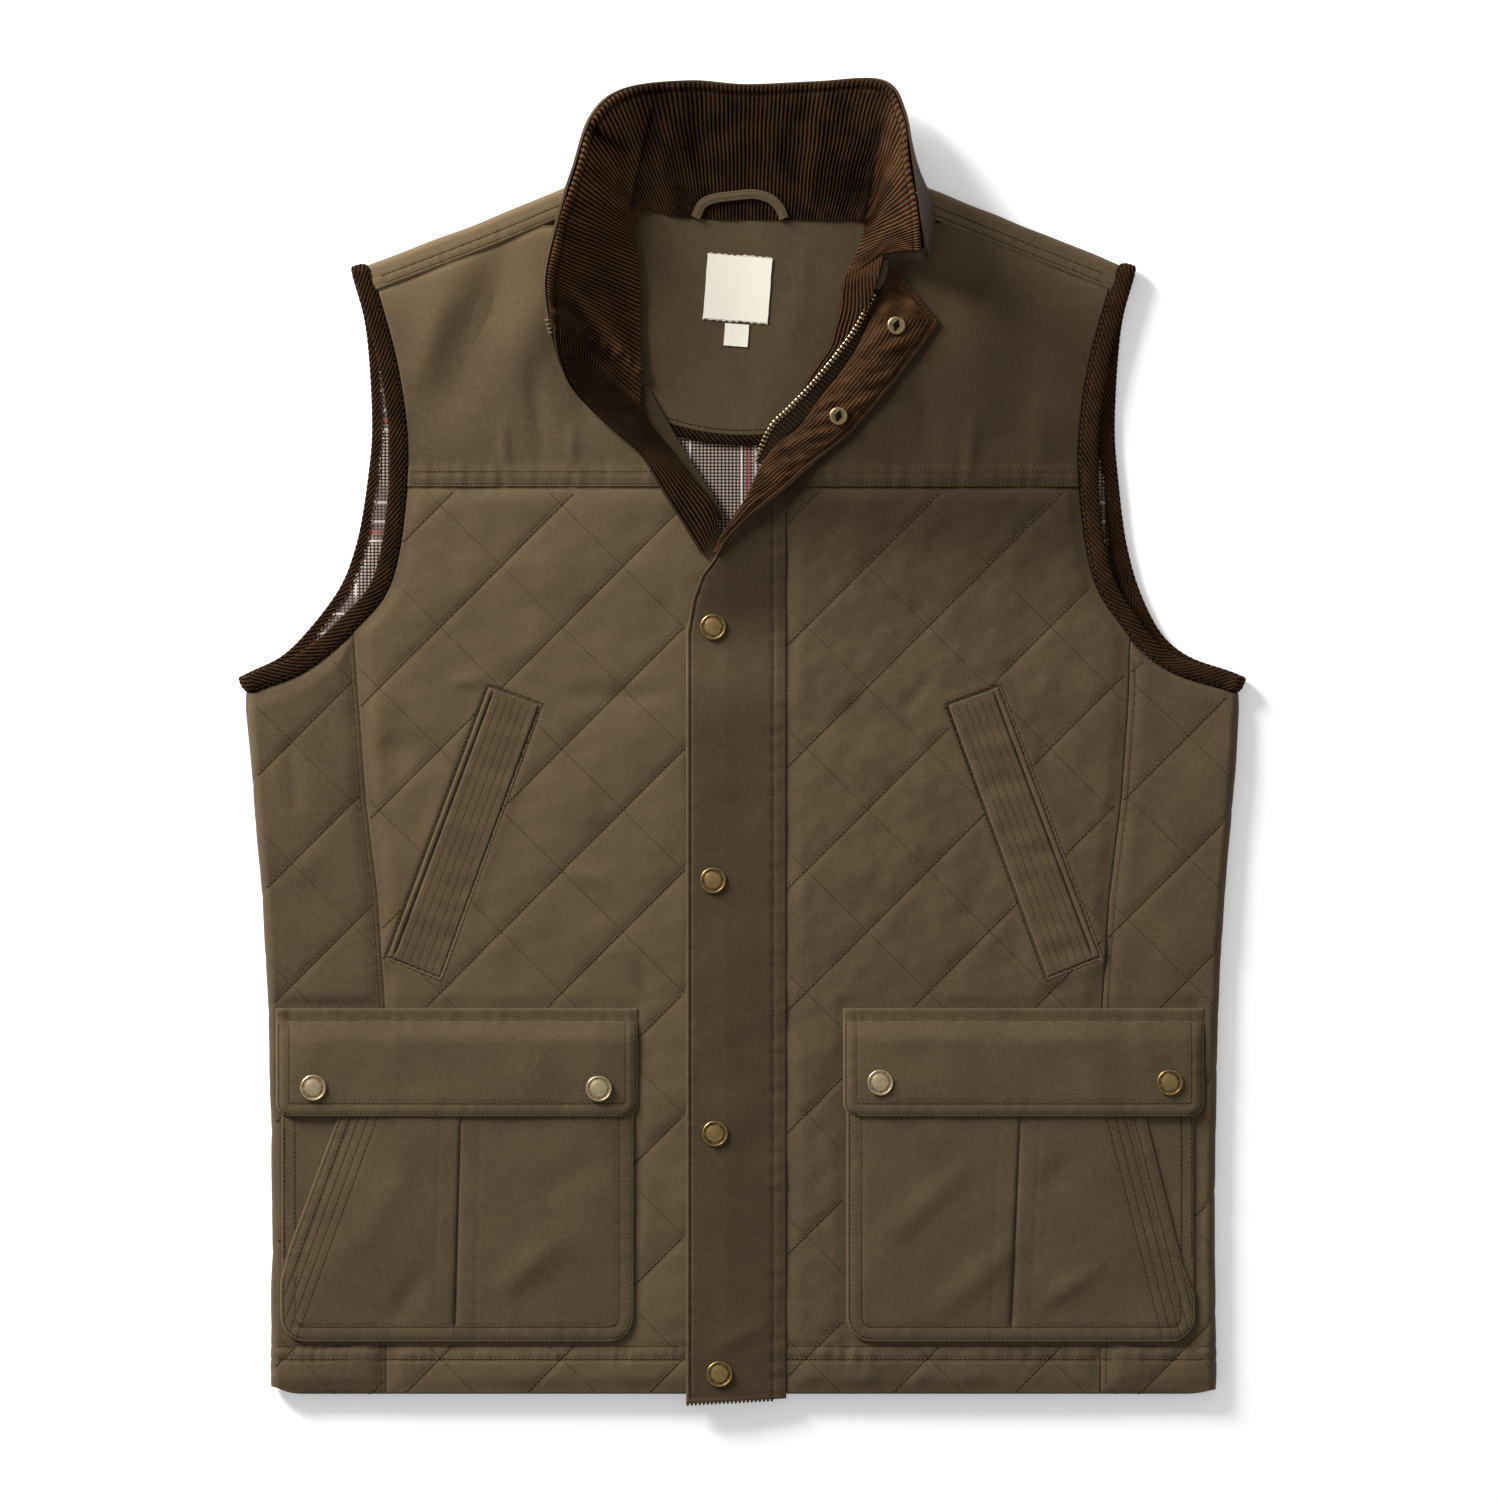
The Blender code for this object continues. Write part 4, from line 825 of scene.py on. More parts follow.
def side_rise(side, half, y, top):
    """Height of the side panel's face over its pressed level."""
    edge = least(half - side_seam(y), top - y, y - HEM_Y)
    fade = ease(edge, QUILT_FADE)
    uneven = 1 + 0.3 * drift(half, y, 41 + side, 80)
    rise = QUILT_RISE[side] * fade * uneven * wadding(side * half, y, SIDE_PHASE[side])
    rise = rise + 0.4 * fade * drift(half, y, 43 + side, 38) + 1.5 * folds(half, y, SIDE_FOLDS[side])
    rise = rise - 0.45 * hump(half - side_seam(y) - SIDE_ROW, 0.9)
    rise = rise + 0.2 * pucker(y, half - side_seam(y) - SIDE_ROW, 45 + side)
    beside = pocket_distance(side, half, y)
    rise = rise * (0.2 + 0.8 * ease(beside, 9)) + hem_relief(half, y, 47 + side)
    rise = rise - rolled(np.maximum(edge, 0), 0.8)
    return np.where(beside < 3, np.minimum(rise, POCKET_BASE - FRONT_TOP - 0.3), rise)


fold_angles = np.radians(np.linspace(0, 180, 19)[1:])
front_shares = spread(60, 1.7)
back_shares = np.linspace(0, 1, 19)[1:]
front_count, fold_count = len(front_shares), len(fold_angles)
angles = np.concatenate([0 * front_shares, fold_angles, 0 * back_shares + math.pi])[None, :]
ts = np.linspace(0, 1, 236)[:, None]
for side, word in SIDES:
    ys = 0 * ts * angles
    for _ in range(10):
        seam, centre = side_edge(ys), side_centre(ys)
        front = seam + (centre - seam) * np.append(front_shares, 0 * angles[0, front_count:])
        halves = np.where(angles == 0, front, centre + FOLD_INNER * np.sin(angles))
        back = centre + (seam - centre) * np.append(0 * angles[0, :front_count + fold_count], back_shares)
        halves[:, front_count + fold_count:] = back[:, front_count + fold_count:]
        share = angles / math.pi
        top = arm_y(PANEL_FRONT, halves) * (1 - share) + arm_y(PANEL_BACK, halves) * share
        top = top - 2 * SEAM_GAP - 1.5 * np.sin(angles)
        foot = HEM_Y + HEM_TURN_UP[side] * np.clip((halves - 250) / 22, 0, 1) ** 3
        ys = foot + ts * (top - foot)
    unrolled = np.where(angles > 0, side_centre(ys) + 4.8 * angles, halves)
    rise = side_rise(side, unrolled, ys, top) * np.clip(1 - share, 0, 1)
    reach = FRONT_TOP - FOLD_MIDDLE + (BACK_WALL + FOLD_INNER - FRONT_TOP + FOLD_MIDDLE) * share
    reach = reach + rise - 0.5 * np.sin(angles)
    outer_x = np.where(angles > 0, side_centre(ys) + reach * np.sin(angles), halves)
    outer_x[:, front_count + fold_count:] = halves[:, front_count + fold_count:]
    outer = level(side * outer_x, ys, FOLD_MIDDLE + reach * np.cos(angles))
    inner = level(side * halves, ys, FOLD_MIDDLE + FOLD_INNER * np.cos(angles))
    wall = shell(outer, inner, flip=side == LEFT)
    cloth("side_" + word, [wall], CANVAS, inner * [side, 1, 1])
    row_y = trace([(HEM_Y + 3, 0), (46, 0)])[:, 0]
    rows = [np.column_stack([side_seam(row_y) + SIDE_ROW, row_y])]
    for hem_row in HEM_ROWS:
        rows.append(trace([(side_seam(hem_row) + 1, hem_row), (side_centre(hem_row) + 3, hem_row)]))
    falling_rows = []
    for slope, phase, kept in ((side, SIDE_PHASE[side][0], rows), (-side, SIDE_PHASE[side][1], falling_rows)):
        for line in quilting(slope, side * phase, 204, 284, HEM_Y, 56):
            keep = (line[:, 0] > side_seam(line[:, 1]) + 1) & (line[:, 0] < side_centre(line[:, 1]) + 1.5)
            keep &= line[:, 1] < arm_y(PANEL_FRONT, line[:, 0]) - 3
            kept += runs(line, keep)
    for ending, kept, width in (("", rows, 0.6), ("_falling", falling_rows, FAINT_STITCH)):
        lifted = []
        for row in kept:
            tops = arm_y(PANEL_FRONT, row[:, 0])
            rises = beside_row(side_rise, side, *row.T, tops)
            lifted.append(level(side * row[:, 0], row[:, 1], FRONT_TOP + rises))
        sew("side_" + word + ending, lifted, width=width)

# Quilted fronts: cotton canvas over thin wadding, sewn through in large diamonds.
# Pressed flat at the seams and hem; the pockets, welts and placket are sewn on over the quilting.
LEFT_INNER = ((-376, -10), (100, -10), (122, -14), (130, -19), (146, -30), (151, -33.6), (166, -45),
              (179, -55.5), (190, -62), (236, -64), (310, -66))
PLACKET_RIGHT = 24.5
PLACKET_LEFT_EDGE = ((-380.5, -33), (62, -33), (81, -29.6), (95, -24.6), (104, -17.6), (123, -7), (139, 3.9),
                     (146, 6.6))
OVERLAY_Z = 11.0
QUILT_PHASE = {LEFT: (-100, -38.8), RIGHT: (40, 101.8)}
WELT_CORNERS = np.array([(204.4, -123.6), (146.3, 31.0), (117.6, 20.7), (174.5, -135.7)])
WELT_WIDTH = 31.0
WELT_LENGTH = 165.0
WELT_TOP = 11.6
WELT_BORDER = 1.7
FRONT_FOLDS = {
    LEFT: (Fold(-170, 34, -145, 34, 4, 0.8), Fold(-208, 2, -190, -14, 7, -0.9),
           Fold(-114, 25, -38, 26, 6, -0.7), Fold(-102, -73, -75, -84, 5, 0.7),
           Fold(-62, -120, -53, -152, 5, -0.7), Fold(-90, 110, -40, 90, 12, 0.5)),
    RIGHT: (Fold(90, 17, 113, 40, 5, -0.8), Fold(25, 17, 54, 4, 5, -0.7), Fold(42, 36, 62, 18, 5, 0.6),
            Fold(60, 110, 130, 60, 14, 0.5), Fold(40, -60, 90, -90, 10, 0.5)),
}


def front_sides(side, y):
    """Left and right edge of a front at a height."""
    outer = np.minimum(read(SIDE_SEAM, y), arm_half(PANEL_FRONT, y)) - SEAM_GAP / 2
    if side == LEFT:
        return -outer, read(LEFT_INNER, y)
    return PLACKET_RIGHT - 0.8 + 0 * y, outer


def on_welt(half, y):
    """Shares along and across a welt, from the foot of its outer edge."""
    a, b, c, d = WELT_CORNERS
    up, over = b - a, (c - b + d - a) / 2
    area = up[0] * over[1] - up[1] * over[0]
    along = ((half - a[0]) * over[1] - (y - a[1]) * over[0]) / area
    inside = ((y - a[1]) * up[0] - (half - a[0]) * up[1]) / area
    return along, inside


def welt_distance(half, y):
    """Plan distance of a spot outside a welt's border, 0 within it."""
    along, inside = on_welt(half, y)
    beyond = np.maximum(np.maximum(-along, along - 1), 0) * WELT_LENGTH
    beside = np.maximum(np.maximum(-inside, inside - 1), 0) * WELT_WIDTH
    return np.hypot(beyond, beside)


def welt_plan(along, inside):
    """Half width and height of a spot on a welt, from the foot of its outer edge."""
    a, b, c, d = WELT_CORNERS
    along, inside = np.asarray(along)[..., None], np.asarray(inside)[..., None]
    return (a * (1 - inside) + d * inside) * (1 - along) + (b * (1 - inside) + c * inside) * along


def covered(side, x, y, margin=1.0):
    """Where a pocket, welt or the placket lies over a front."""
    half = side * x
    along, inside = on_welt(half, y)
    pocket = (half > POCKET_INNER[side] + margin) & (half < POCKET_OUTER[side] - margin)
    pocket &= (y > POCKET_FOOT_Y + margin) & (y < FLAP_TOP_Y - margin)
    welt = (along > 0) & (along < 1) & (inside > 0) & (inside < 1)
    return pocket | welt | ((x > read(PLACKET_LEFT_EDGE, y) + margin) & (x < PLACKET_RIGHT))


def right_painted_shade(x, y):
    """Share of painted shade: all over the right yoke, fading out down the right front."""
    return ease(y - 50, 90) * (x > 0)


def front_rise(side, x, y):
    """Height of a quilted front's face over its pressed level."""
    low, high = front_sides(side, y)
    edge = np.maximum(least(x - low, high - x, y - HEM_Y, YOKE_SEAM_Y + 2 - y), 0)
    fade = ease(edge, QUILT_FADE)
    uneven = 1 + 0.3 * drift(x, y, 21 + side, 90)
    rise = QUILT_RISE[side] * fade * uneven * wadding(x, y, QUILT_PHASE[side])
    rise = rise + 0.45 * fade * drift(x, y, 23 + side, 40) + 1.5 * folds(x, y, FRONT_FOLDS[side])
    rise = rise + 0.2 * fade * drift(x, y, 27 + side, 17) + hem_relief(x, y, 25 + side)
    rise = rise - 0.6 * hump(y - YOKE_SEAM_Y + 0.7, 1.1)
    gap = welt_distance(side * x, y)
    rise = rise + (WELT_TOP - FRONT_TOP - rise) * hump(gap, 7)
    rise = rise - 0.35 * hump(gap - WELT_BORDER, 0.8) - 0.9 * hump(gap, 0.7) - rolled(edge, 0.8)
    beside = pocket_distance(side, side * x, y)
    rise = rise * (0.35 + 0.65 * ease(beside, 9))
    rise = np.where(covered(side, x, y), np.minimum(rise, OVERLAY_Z - FRONT_TOP - 0.4), rise)
    rise = np.where(beside == 0, np.minimum(rise, POCKET_BASE - FRONT_TOP - 0.3), rise)
    return np.where(gap == 0, 0.1, rise)


for side, word in SIDES:
    ys = HEM_Y + spread(521, 1.65)[:, None] * (YOKE_SEAM_Y + 1.2 - HEM_Y)
    low, high = front_sides(side, ys)
    xs = low + spread(200, 1.65)[None, :] * (high - low)
    ys = ys + 0 * xs
    top = level(xs, ys, FRONT_TOP + front_rise(side, xs, ys))
    # Painted light over the whole left front, by the pale "edge" colour.
    lit = 0.35 * (side == LEFT)
    wall = shell(top, level(xs, ys, FRONT_Z), edge=lit)
    cloth("front_" + word, [wall], CANVAS, level(xs, ys, 0), nap_and_painted_shade=right_painted_shade)
    rows = []
    falling_rows = []
    low_x, high_x = (-225, -10) if side == LEFT else (PLACKET_RIGHT, 222)
    rising = quilting(1, QUILT_PHASE[side][0], low_x, high_x, HEM_Y, YOKE_SEAM_Y)
    falling = quilting(-1, QUILT_PHASE[side][1], low_x, high_x, HEM_Y, YOKE_SEAM_Y)
    rising += [trace([(low_x, row), (high_x, row)]) for row in HEM_ROWS]
    for paths, kept in ((rising, rows), (falling, falling_rows)):
        for line in paths:
            low, high = front_sides(side, line[:, 1])
            keep = (line[:, 0] > low + 1) & (line[:, 0] < high - 1)
            keep &= ~covered(side, *line.T, -0.5)
            keep &= (line[:, 1] > HEM_Y + 1) & (line[:, 1] < YOKE_SEAM_Y - 2)
            for part in runs(line, keep):
                rises = beside_row(front_rise, side, *part.T)
                kept.append(level(part[:, 0], part[:, 1], FRONT_TOP + rises))
    end, beside = WELT_BORDER / WELT_LENGTH, WELT_BORDER / WELT_WIDTH
    corners = [(-end, -beside), (1 + end, -beside), (1 + end, 1 + beside), (-end, 1 + beside),
               (-end, -beside)]
    border = trace([welt_plan(*corner) for corner in corners])
    border_rise = front_rise(side, side * border[:, 0], border[:, 1])
    rows.append(level(side * border[:, 0], border[:, 1], FRONT_TOP + border_rise))
    sew("front_" + word, rows)
    sew("front_" + word + "_falling", falling_rows, width=FAINT_STITCH)

# Front yokes: plain canvas from the quilted front up to the forward shoulder seam.
# The lower edge is turned under and sewn over the quilting with two rows; the top lies under the shoulder.
RIGHT_INNER = ((146, 8), (153, 9), (167, 13), (183, 21), (198, 36), (215, 48), (235, 58), (254, 62),
               (282, 72), (310, 78))
YOKE_ROWS = (147.8, 154.7)
YOKE_TURN = 9
YOKE_FOLDS = {
    LEFT: (Fold(-132, 296, -176, 182, 13, -1.6), Fold(-104, 280, -140, 190, 14, 1.4),
           Fold(-121, 222, -115, 152, 6, -0.8), Fold(-138, 186, -137, 150, 3, 0.6),
           Fold(-98, 184, -99, 150, 3, 0.6), Fold(-170, 262, -188, 200, 9, 0.9),
           Fold(-84, 240, -92, 170, 9, -0.7)),
    RIGHT: (Fold(120, 262, 150, 176, 14, 1.2), Fold(150, 268, 176, 190, 11, -0.9),
            Fold(98, 215, 110, 156, 7, -0.7), Fold(132, 190, 130, 150, 3.5, 0.6),
            Fold(168, 200, 172, 150, 5, 0.5), Fold(70, 190, 84, 156, 6, 0.5)),
}


def yoke_sides(side, y):
    inner = -read(LEFT_INNER, y) if side == LEFT else read(RIGHT_INNER, y)
    return inner, arm_half(PANEL_FRONT, y)


def forward_seam(half):
    return shoulder_y(np.maximum(half, NECK_HALF + 12)) - FORWARD_SEAM_DROP + 1.2


def yoke_painted_shade(x, y):
    """Share of painted shade on a front yoke: the right one only, less near the shoulder seam."""
    return right_painted_shade(x, y) * (1 - np.exp(-np.maximum(forward_seam(np.abs(x)) - y, 0) / 25))


def yoke_rise(side, half, y):
    """Height of a front yoke's face: a double fold at its foot, pressed under the shoulder at its top."""
    inner, outer = yoke_sides(side, y)
    edge = np.maximum(least(half - inner, outer - half, y - YOKE_SEAM_Y), 0)
    doubled = 1.0 - ease(y - YOKE_SEAM_Y - YOKE_TURN, 4)
    under_shoulder = forward_seam(half) - y
    rise = doubled - 0.15 * (1 - ease(under_shoulder, 6)) - 0.6 * hump(under_shoulder - 1.5, 0.8)
    rise = rise + 0.4 * drift(half, y, 51 + side, 46) + 1.8 * folds(side * half, y, YOKE_FOLDS[side])
    rise = rise + 0.35 * pucker(half, y - 152, 53 + side, 8.0, 9.0)
    for row in YOKE_ROWS:
        rise = rise - 0.45 * hump(y - row, 1.3)
    return rise - rolled(edge, 0.9)


for side, word in SIDES:
    ts = spread(120, 1.6)[:, None]
    shares = spread(130, 1.6)[None, :]
    ys = YOKE_SEAM_Y + 0 * ts * shares
    for _ in range(10):
        inner, outer = yoke_sides(side, ys)
        halves = inner + shares * (outer - inner)
        ys = YOKE_SEAM_Y + ts * (forward_seam(halves) - YOKE_SEAM_Y)
    top = level(side * halves, ys, FRONT_TOP + yoke_rise(side, halves, ys))
    # Painted light: on the left yoke up under the shoulder seam, and on the right yoke in a patch below the
    # collar, where its shadow falls.
    lit = 1.8 * np.exp(-np.maximum(forward_seam(halves) - ys, 0) / 18)
    if side == RIGHT:
        lit = 1.2 * np.exp(-((halves - 118) / 28) ** 2 - ((ys - 272) / 30) ** 2)
    wall = shell(top, level(side * halves, ys, FRONT_Z), flip=side == LEFT, edge=lit)
    cloth("front_yoke_" + word, [wall], CANVAS, level(halves, ys, 0), nap_and_painted_shade=yoke_painted_shade)
    rows = []
    for row in YOKE_ROWS:
        inner, outer = yoke_sides(side, np.array(row))
        line = trace([(inner + 1, row), (outer - 1, row)])
        rows.append(level(side * line[:, 0], line[:, 1], FRONT_TOP + yoke_rise(side, *line.T)))
    sew("front_yoke_" + word, rows)

# Armhole bindings: bias-cut corduroy folded over the armhole's raw edge, in one loop from front to back.
# A row of stitches beside the panel holds it, and its slanting cords show as fine ribs.
BINDING_HALF = 2.4
BINDING_STEP = 0.75
BIAS_PITCH = 2.0
BIAS_TURN = math.radians(35)
BINDING_PILE = {LEFT: 0.9, RIGHT: 1.1}
BINDING_FRONT_Z = FRONT_Z + 1.3
BINDING_BACK_Z = BINDING_HALF + 0.05


def ring_mesh(rings, marks):
    """A closed tube whose last ring joins the first."""
    count, around = rings.shape[:2]
    index = np.arange(count * around).reshape(count, around)
    after = np.roll(index, -1, axis=0)
    faces = np.stack([index, np.roll(index, -1, axis=1), np.roll(after, -1, axis=1), after], -1)
    return rings.reshape(-1, 3), faces.reshape(-1, 4).tolist(), marks.ravel()


def half_turn(start, end, ahead, down):
    """Places and faces of the strip where it folds over at one end of the armhole."""
    radius = (BINDING_FRONT_Z - BINDING_BACK_Z) / 2
    for angle in np.radians(np.arange(15, 180, 15)):
        share = angle / math.pi
        toward = start[1] + (end[1] - start[1]) * share
        toward = np.append(unit(toward), 0)
        plan = start[0] + (end[0] - start[0]) * share + ahead * radius * math.sin(angle)
        face = np.append(ahead * math.sin(angle), math.cos(angle) * down)
        face = face - toward * (face @ toward)
        middle = (BINDING_FRONT_Z + BINDING_BACK_Z) / 2 + radius * math.cos(angle) * down
        yield np.append(plan, middle), toward, unit(face), start[2] + (end[2] - start[2]) * share


upper = 0.5 - 0.5 * np.cos(np.linspace(0, math.pi, 25))
lower = 0.5 + 0.5 * np.cos(np.linspace(0, math.pi, 19)[1:-1])
ring_across = np.append(upper, lower)
ring_face = np.append(0 * upper + 1, 0 * lower - 1)
ring_over = ring_face * np.clip(1 - np.abs(2 * ring_across - 1) ** 3.33, 0, 1) ** 0.275
fronts = list(zip(ARM_FRONT[::-1], inward(ARM_FRONT)[::-1], [BINDING_FRONT] * len(ARM_FRONT)))
backs = list(zip(ARM_BACK, inward(ARM_BACK), [BINDING_BACK] * len(ARM_BACK)))
steps = [(np.append(p, BINDING_FRONT_Z), np.append(n, 0), np.array([0, 0, 1.0]), w) for p, n, w in fronts]
ahead = fronts[-1][0] - fronts[-2][0]
steps += half_turn(fronts[-1], backs[0], unit(ahead), 1)
steps += [(np.append(p, BINDING_BACK_Z), np.append(n, 0), np.array([0, 0, -1.0]), w) for p, n, w in backs]
ahead = backs[-1][0] - backs[-2][0]
steps += half_turn(backs[-1], fronts[0], unit(ahead), -1)
steps.append(steps[0])
places, towards, overs, widths = (np.array([step[n] for step in steps]) for n in range(4))
lengths = run_lengths(places)
marks = np.linspace(0, lengths[-1], int(lengths[-1] / BINDING_STEP))[:-1]
places, towards, overs = (at_marks(marks, lengths, rows) for rows in (places, towards, overs))
widths = np.interp(marks, lengths, widths)
from_end = np.minimum(marks, lengths[-1] - marks)[:, None]
at_back = ease(-overs[:, 2:], 0.8)
row = places + towards * (widths * 0.86)[:, None] + overs * BINDING_HALF * 0.72
for side, word in SIDES:
    lip = at_back * ease(from_end - 6, 30) * (ring_face < 0) * (side == RIGHT)
    lip = lip * (6.5 - 4.2 * hump(places[:, 1:2] - 142, 26))
    reach = ring_across * (widths[:, None] + lip)
    slant = marks[:, None] * math.sin(BIAS_TURN) - ring_face * reach * math.cos(BIAS_TURN)
    ribs = cords(slant + 0.2 * drift(marks[:, None], 0 * slant, 61 + side, 15), BIAS_PITCH)
    swell = 0.8 + 0.24 * ribs + 0.05 * drift(marks[:, None], ring_across * 6, 63 + side, 24)
    swell = swell - 0.3 * hump(ring_across - 0.86, 0.06) + 0.35 * hump(from_end, 4)
    raised = 0.9 * at_back * ease(reach - 4, 3) * (ring_face < 0)
    rings = places[:, None] + towards[:, None] * (reach + (ring_across - 0.5) * (0.5 * ribs - 0.3))[..., None]
    rings = rings + overs[:, None] * (ring_over * swell * BINDING_HALF - raised)[..., None]
    plain = np.stack([places, places + towards * (widths + lip[:, -1])[:, None]], axis=1)
    mirror = np.array([side, 1, 1])
    points, faces, shades = ring_mesh(rings * mirror, BINDING_PILE[side] * ribs - 0.2)
    if side == RIGHT:
        faces = [face[::-1] for face in faces]
    cloth("armhole_binding_" + word, [(points, faces, shades)], CORDUROY, plain, mark="painted_cord_shade")
    sew("armhole_binding_" + word, [row * mirror], overs=[overs * mirror], thread=DARK_THREAD)

# Welts: a folded strip of canvas over each slanting hand pocket, sewn flat round its border and in rows.
# The pocket's opening runs along its outer side, as a narrow slit beside a folded lip.
WELT_WALL = 1.8
WELT_SLIT = 3.4
WELT_ROWS = (8.0, 12.5, 17.0, 21.5, 25.8)
WELT_STITCH = 0.34


def welt_rise(side, along, inside):
    """Height of a welt's face over its own level."""
    d = inside * WELT_WIDTH
    ends = np.minimum(along, 1 - along) * WELT_LENGTH
    edge = least(d, WELT_WIDTH - d, ends)
    rise = 0.6 * drift(along * WELT_LENGTH, 0.4 * d, 71 + side, 18) * ease(edge, 6) - rolled(edge, 0.9)
    rise = rise - 1.5 * hump(d - WELT_SLIT, 0.6) * ease(ends, 6)
    for row in WELT_ROWS:
        rise = rise - 0.04 * hump(d - row, 0.8)
    return rise


for side, word in SIDES:
    alongs = spread(WELT_LENGTH, 1.6)[:, None]
    at_slit = (WELT_SLIT + np.array([-0.8, -0.4, 0, 0.4, 0.8])) / WELT_WIDTH
    insides = np.sort(np.append(spread(WELT_WIDTH, 0.9), at_slit))
    alongs, insides = np.broadcast_arrays(alongs, insides[None, ::-1])
    plan = welt_plan(alongs, insides) * [side, 1]
    flat = np.dstack([plan, 0 * alongs + WELT_TOP - WELT_WALL])
    rise = WELT_WALL + welt_rise(side, alongs, insides)
    rubbed = 0.7 * np.exp(-np.minimum(insides, 1 - insides) * WELT_WIDTH / 1.2)
    wall = shell(flat + rise[..., None] * [0, 0, 1], flat, flip=side == LEFT, edge=rubbed)
    cloth("welt_" + word, [wall], CANVAS, flat)
    lifted = []
    for d in WELT_ROWS:
        inside = d / WELT_WIDTH
        row = trace([(2.0 / WELT_LENGTH, inside), (1 - 2.0 / WELT_LENGTH, inside)], 0.008)
        plan = welt_plan(row[:, 0], row[:, 1])
        z = WELT_TOP + welt_rise(side, *row.T)
        lifted.append(level(side * plan[:, 0], plan[:, 1], z))
    sew("welt_" + word, lifted, width=WELT_STITCH)

# Cargo pockets: a flat back, and a front with one pressed pleat and a slanting side entry.
# Canvas, the edges turned under and double-stitched; five rows of stitches stiffen the slanting edge.
POCKET_CORNER = 15.0
POCKET_SLANT = {
    LEFT: ((-346, 266), (-310, 266), (-291, 260.8), (-219, 234), (-170, 216)),
    RIGHT: ((-346, 259.5), (-318, 259.3), (-300, 252), (-216, 231), (-170, 219.4)),
}
POCKET_PLEAT = {LEFT: (161.3, 166.0), RIGHT: (160.7, 153.2)}
POCKET_BACK_TOP = POCKET_BASE + 0.7
POCKET_Z = POCKET_BACK_TOP + 0.2
POCKET_WALL = 1.4
POCKET_CROWN = 1.8
POCKET_ROWS = (1.8, 8.6)
FLAP_FOOT_Y = -215.5
SLANT_ROWS = (1.7, 6.8, 12.1, 17.4, 22.7)
ENTRY_STITCH = 0.52
ENTRY_TOP_Y = -205
BORDER_TOP_Y = -305
BACK_ROWS = (2.2, 8.2)
PLEAT_CREASES = (-11.5, 11.5)
POCKET_FOLDS = {
    LEFT: (Fold(100, -282, 145, -320, 8, 1.0), Fold(190, -240, 228, -300, 10, 0.8),
           Fold(80, -240, 120, -262, 9, -0.6), Fold(180, -300, 205, -338, 7, -0.7)),
    RIGHT: (Fold(132, -240, 78, -290, 8, 1.0), Fold(164, -282, 105, -333, 8, 0.9),
            Fold(208, -300, 168, -325, 6, 0.8), Fold(190, -236, 170, -262, 8, -0.6)),
}


def cornered(inner, outer, up, corner, inset):
    """Inner and outer edge of a pocket or flap, or a line inside them, drawn in round the lower corners."""
    radius = corner - inset
    rise = np.clip(radius - (up - inset), 0, radius)
    drawn = inset + radius - np.sqrt(radius ** 2 - rise ** 2)
    return inner + drawn, outer - drawn


def pocket_sides(side, y, inset=0.0):
    return cornered(POCKET_INNER[side], POCKET_OUTER[side], y - POCKET_FOOT_Y, POCKET_CORNER, inset)


def pocket_front_sides(side, y, inset=0.0):
    low, high = pocket_sides(side, y, inset)
    return low, np.minimum(high, read(POCKET_SLANT[side], y) - inset)


def pleat_at(side, y):
    share = (y - POCKET_FOOT_Y) / (POCKET_TOP_Y - POCKET_FOOT_Y)
    return POCKET_PLEAT[side][1] + (POCKET_PLEAT[side][0] - POCKET_PLEAT[side][1]) * share


def slant_line(side, y):
    """Half width of the slanting entry's line, carried straight on to the foot."""
    (low_y, low), (high_y, high) = POCKET_SLANT[side][-2:]
    return low + (high - low) * (y - low_y) / (high_y - low_y)


def pocket_crown(side, half, y):
    """How far a pocket's front bulges between its sewn sides."""
    low, high = pocket_front_sides(side, y)
    share = np.clip((half - low) / (high - low), 0, 1)
    t = (y - POCKET_FOOT_Y) / (POCKET_TOP_Y - POCKET_FOOT_Y)
    return POCKET_CROWN * ease(np.sin(math.pi * share), 0.5) * ease(t, 0.33)


def pocket_rise(side, half, y):
    """Height of a pocket front's face over the pocket's back."""
    low, high = pocket_front_sides(side, y)
    crown = pocket_crown(side, half, y)
    edge = np.maximum(least(half - low, high - half, y - POCKET_FOOT_Y), 0)
    calm = ease(edge, 14)
    off = side * (half - pleat_at(side, y))
    rise = crown + 0.35 * calm * drift(half, y, 81 + side, 42)
    rise = rise + 1.7 * calm * folds(half, y, POCKET_FOLDS[side])
    low_share = 1 - np.clip((y - POCKET_FOOT_Y) / (FLAP_FOOT_Y - POCKET_FOOT_Y), 0, 1)
    slit = (1.2 + 1.2 * low_share) * np.exp(-np.abs(off) / (0.45 + 0.45 * low_share))
    beyond = 0.5 * np.exp(-np.clip(off, 0, None) / 5) * (off > 0)
    rise = rise - (slit + beyond) * ease(y - POCKET_FOOT_Y - 7, 5)
    for crease in PLEAT_CREASES:
        rise = rise - 0.22 * hump(off - crease, 1.2)
    for row in POCKET_ROWS:
        rise = rise - 0.4 * hump(edge - row, 1.2)
    slant = slant_line(side, y) - half
    for row in SLANT_ROWS:
        rise = rise - 0.16 * hump(slant - row, 1.2) * ease(edge, 4)
    along = np.where(y - POCKET_FOOT_Y < np.minimum(half - low, high - half), half, y)
    return rise + 0.15 * pucker(along, edge - 5, 83 + side, 9.0, 5.0) - rolled(edge, 1.2)


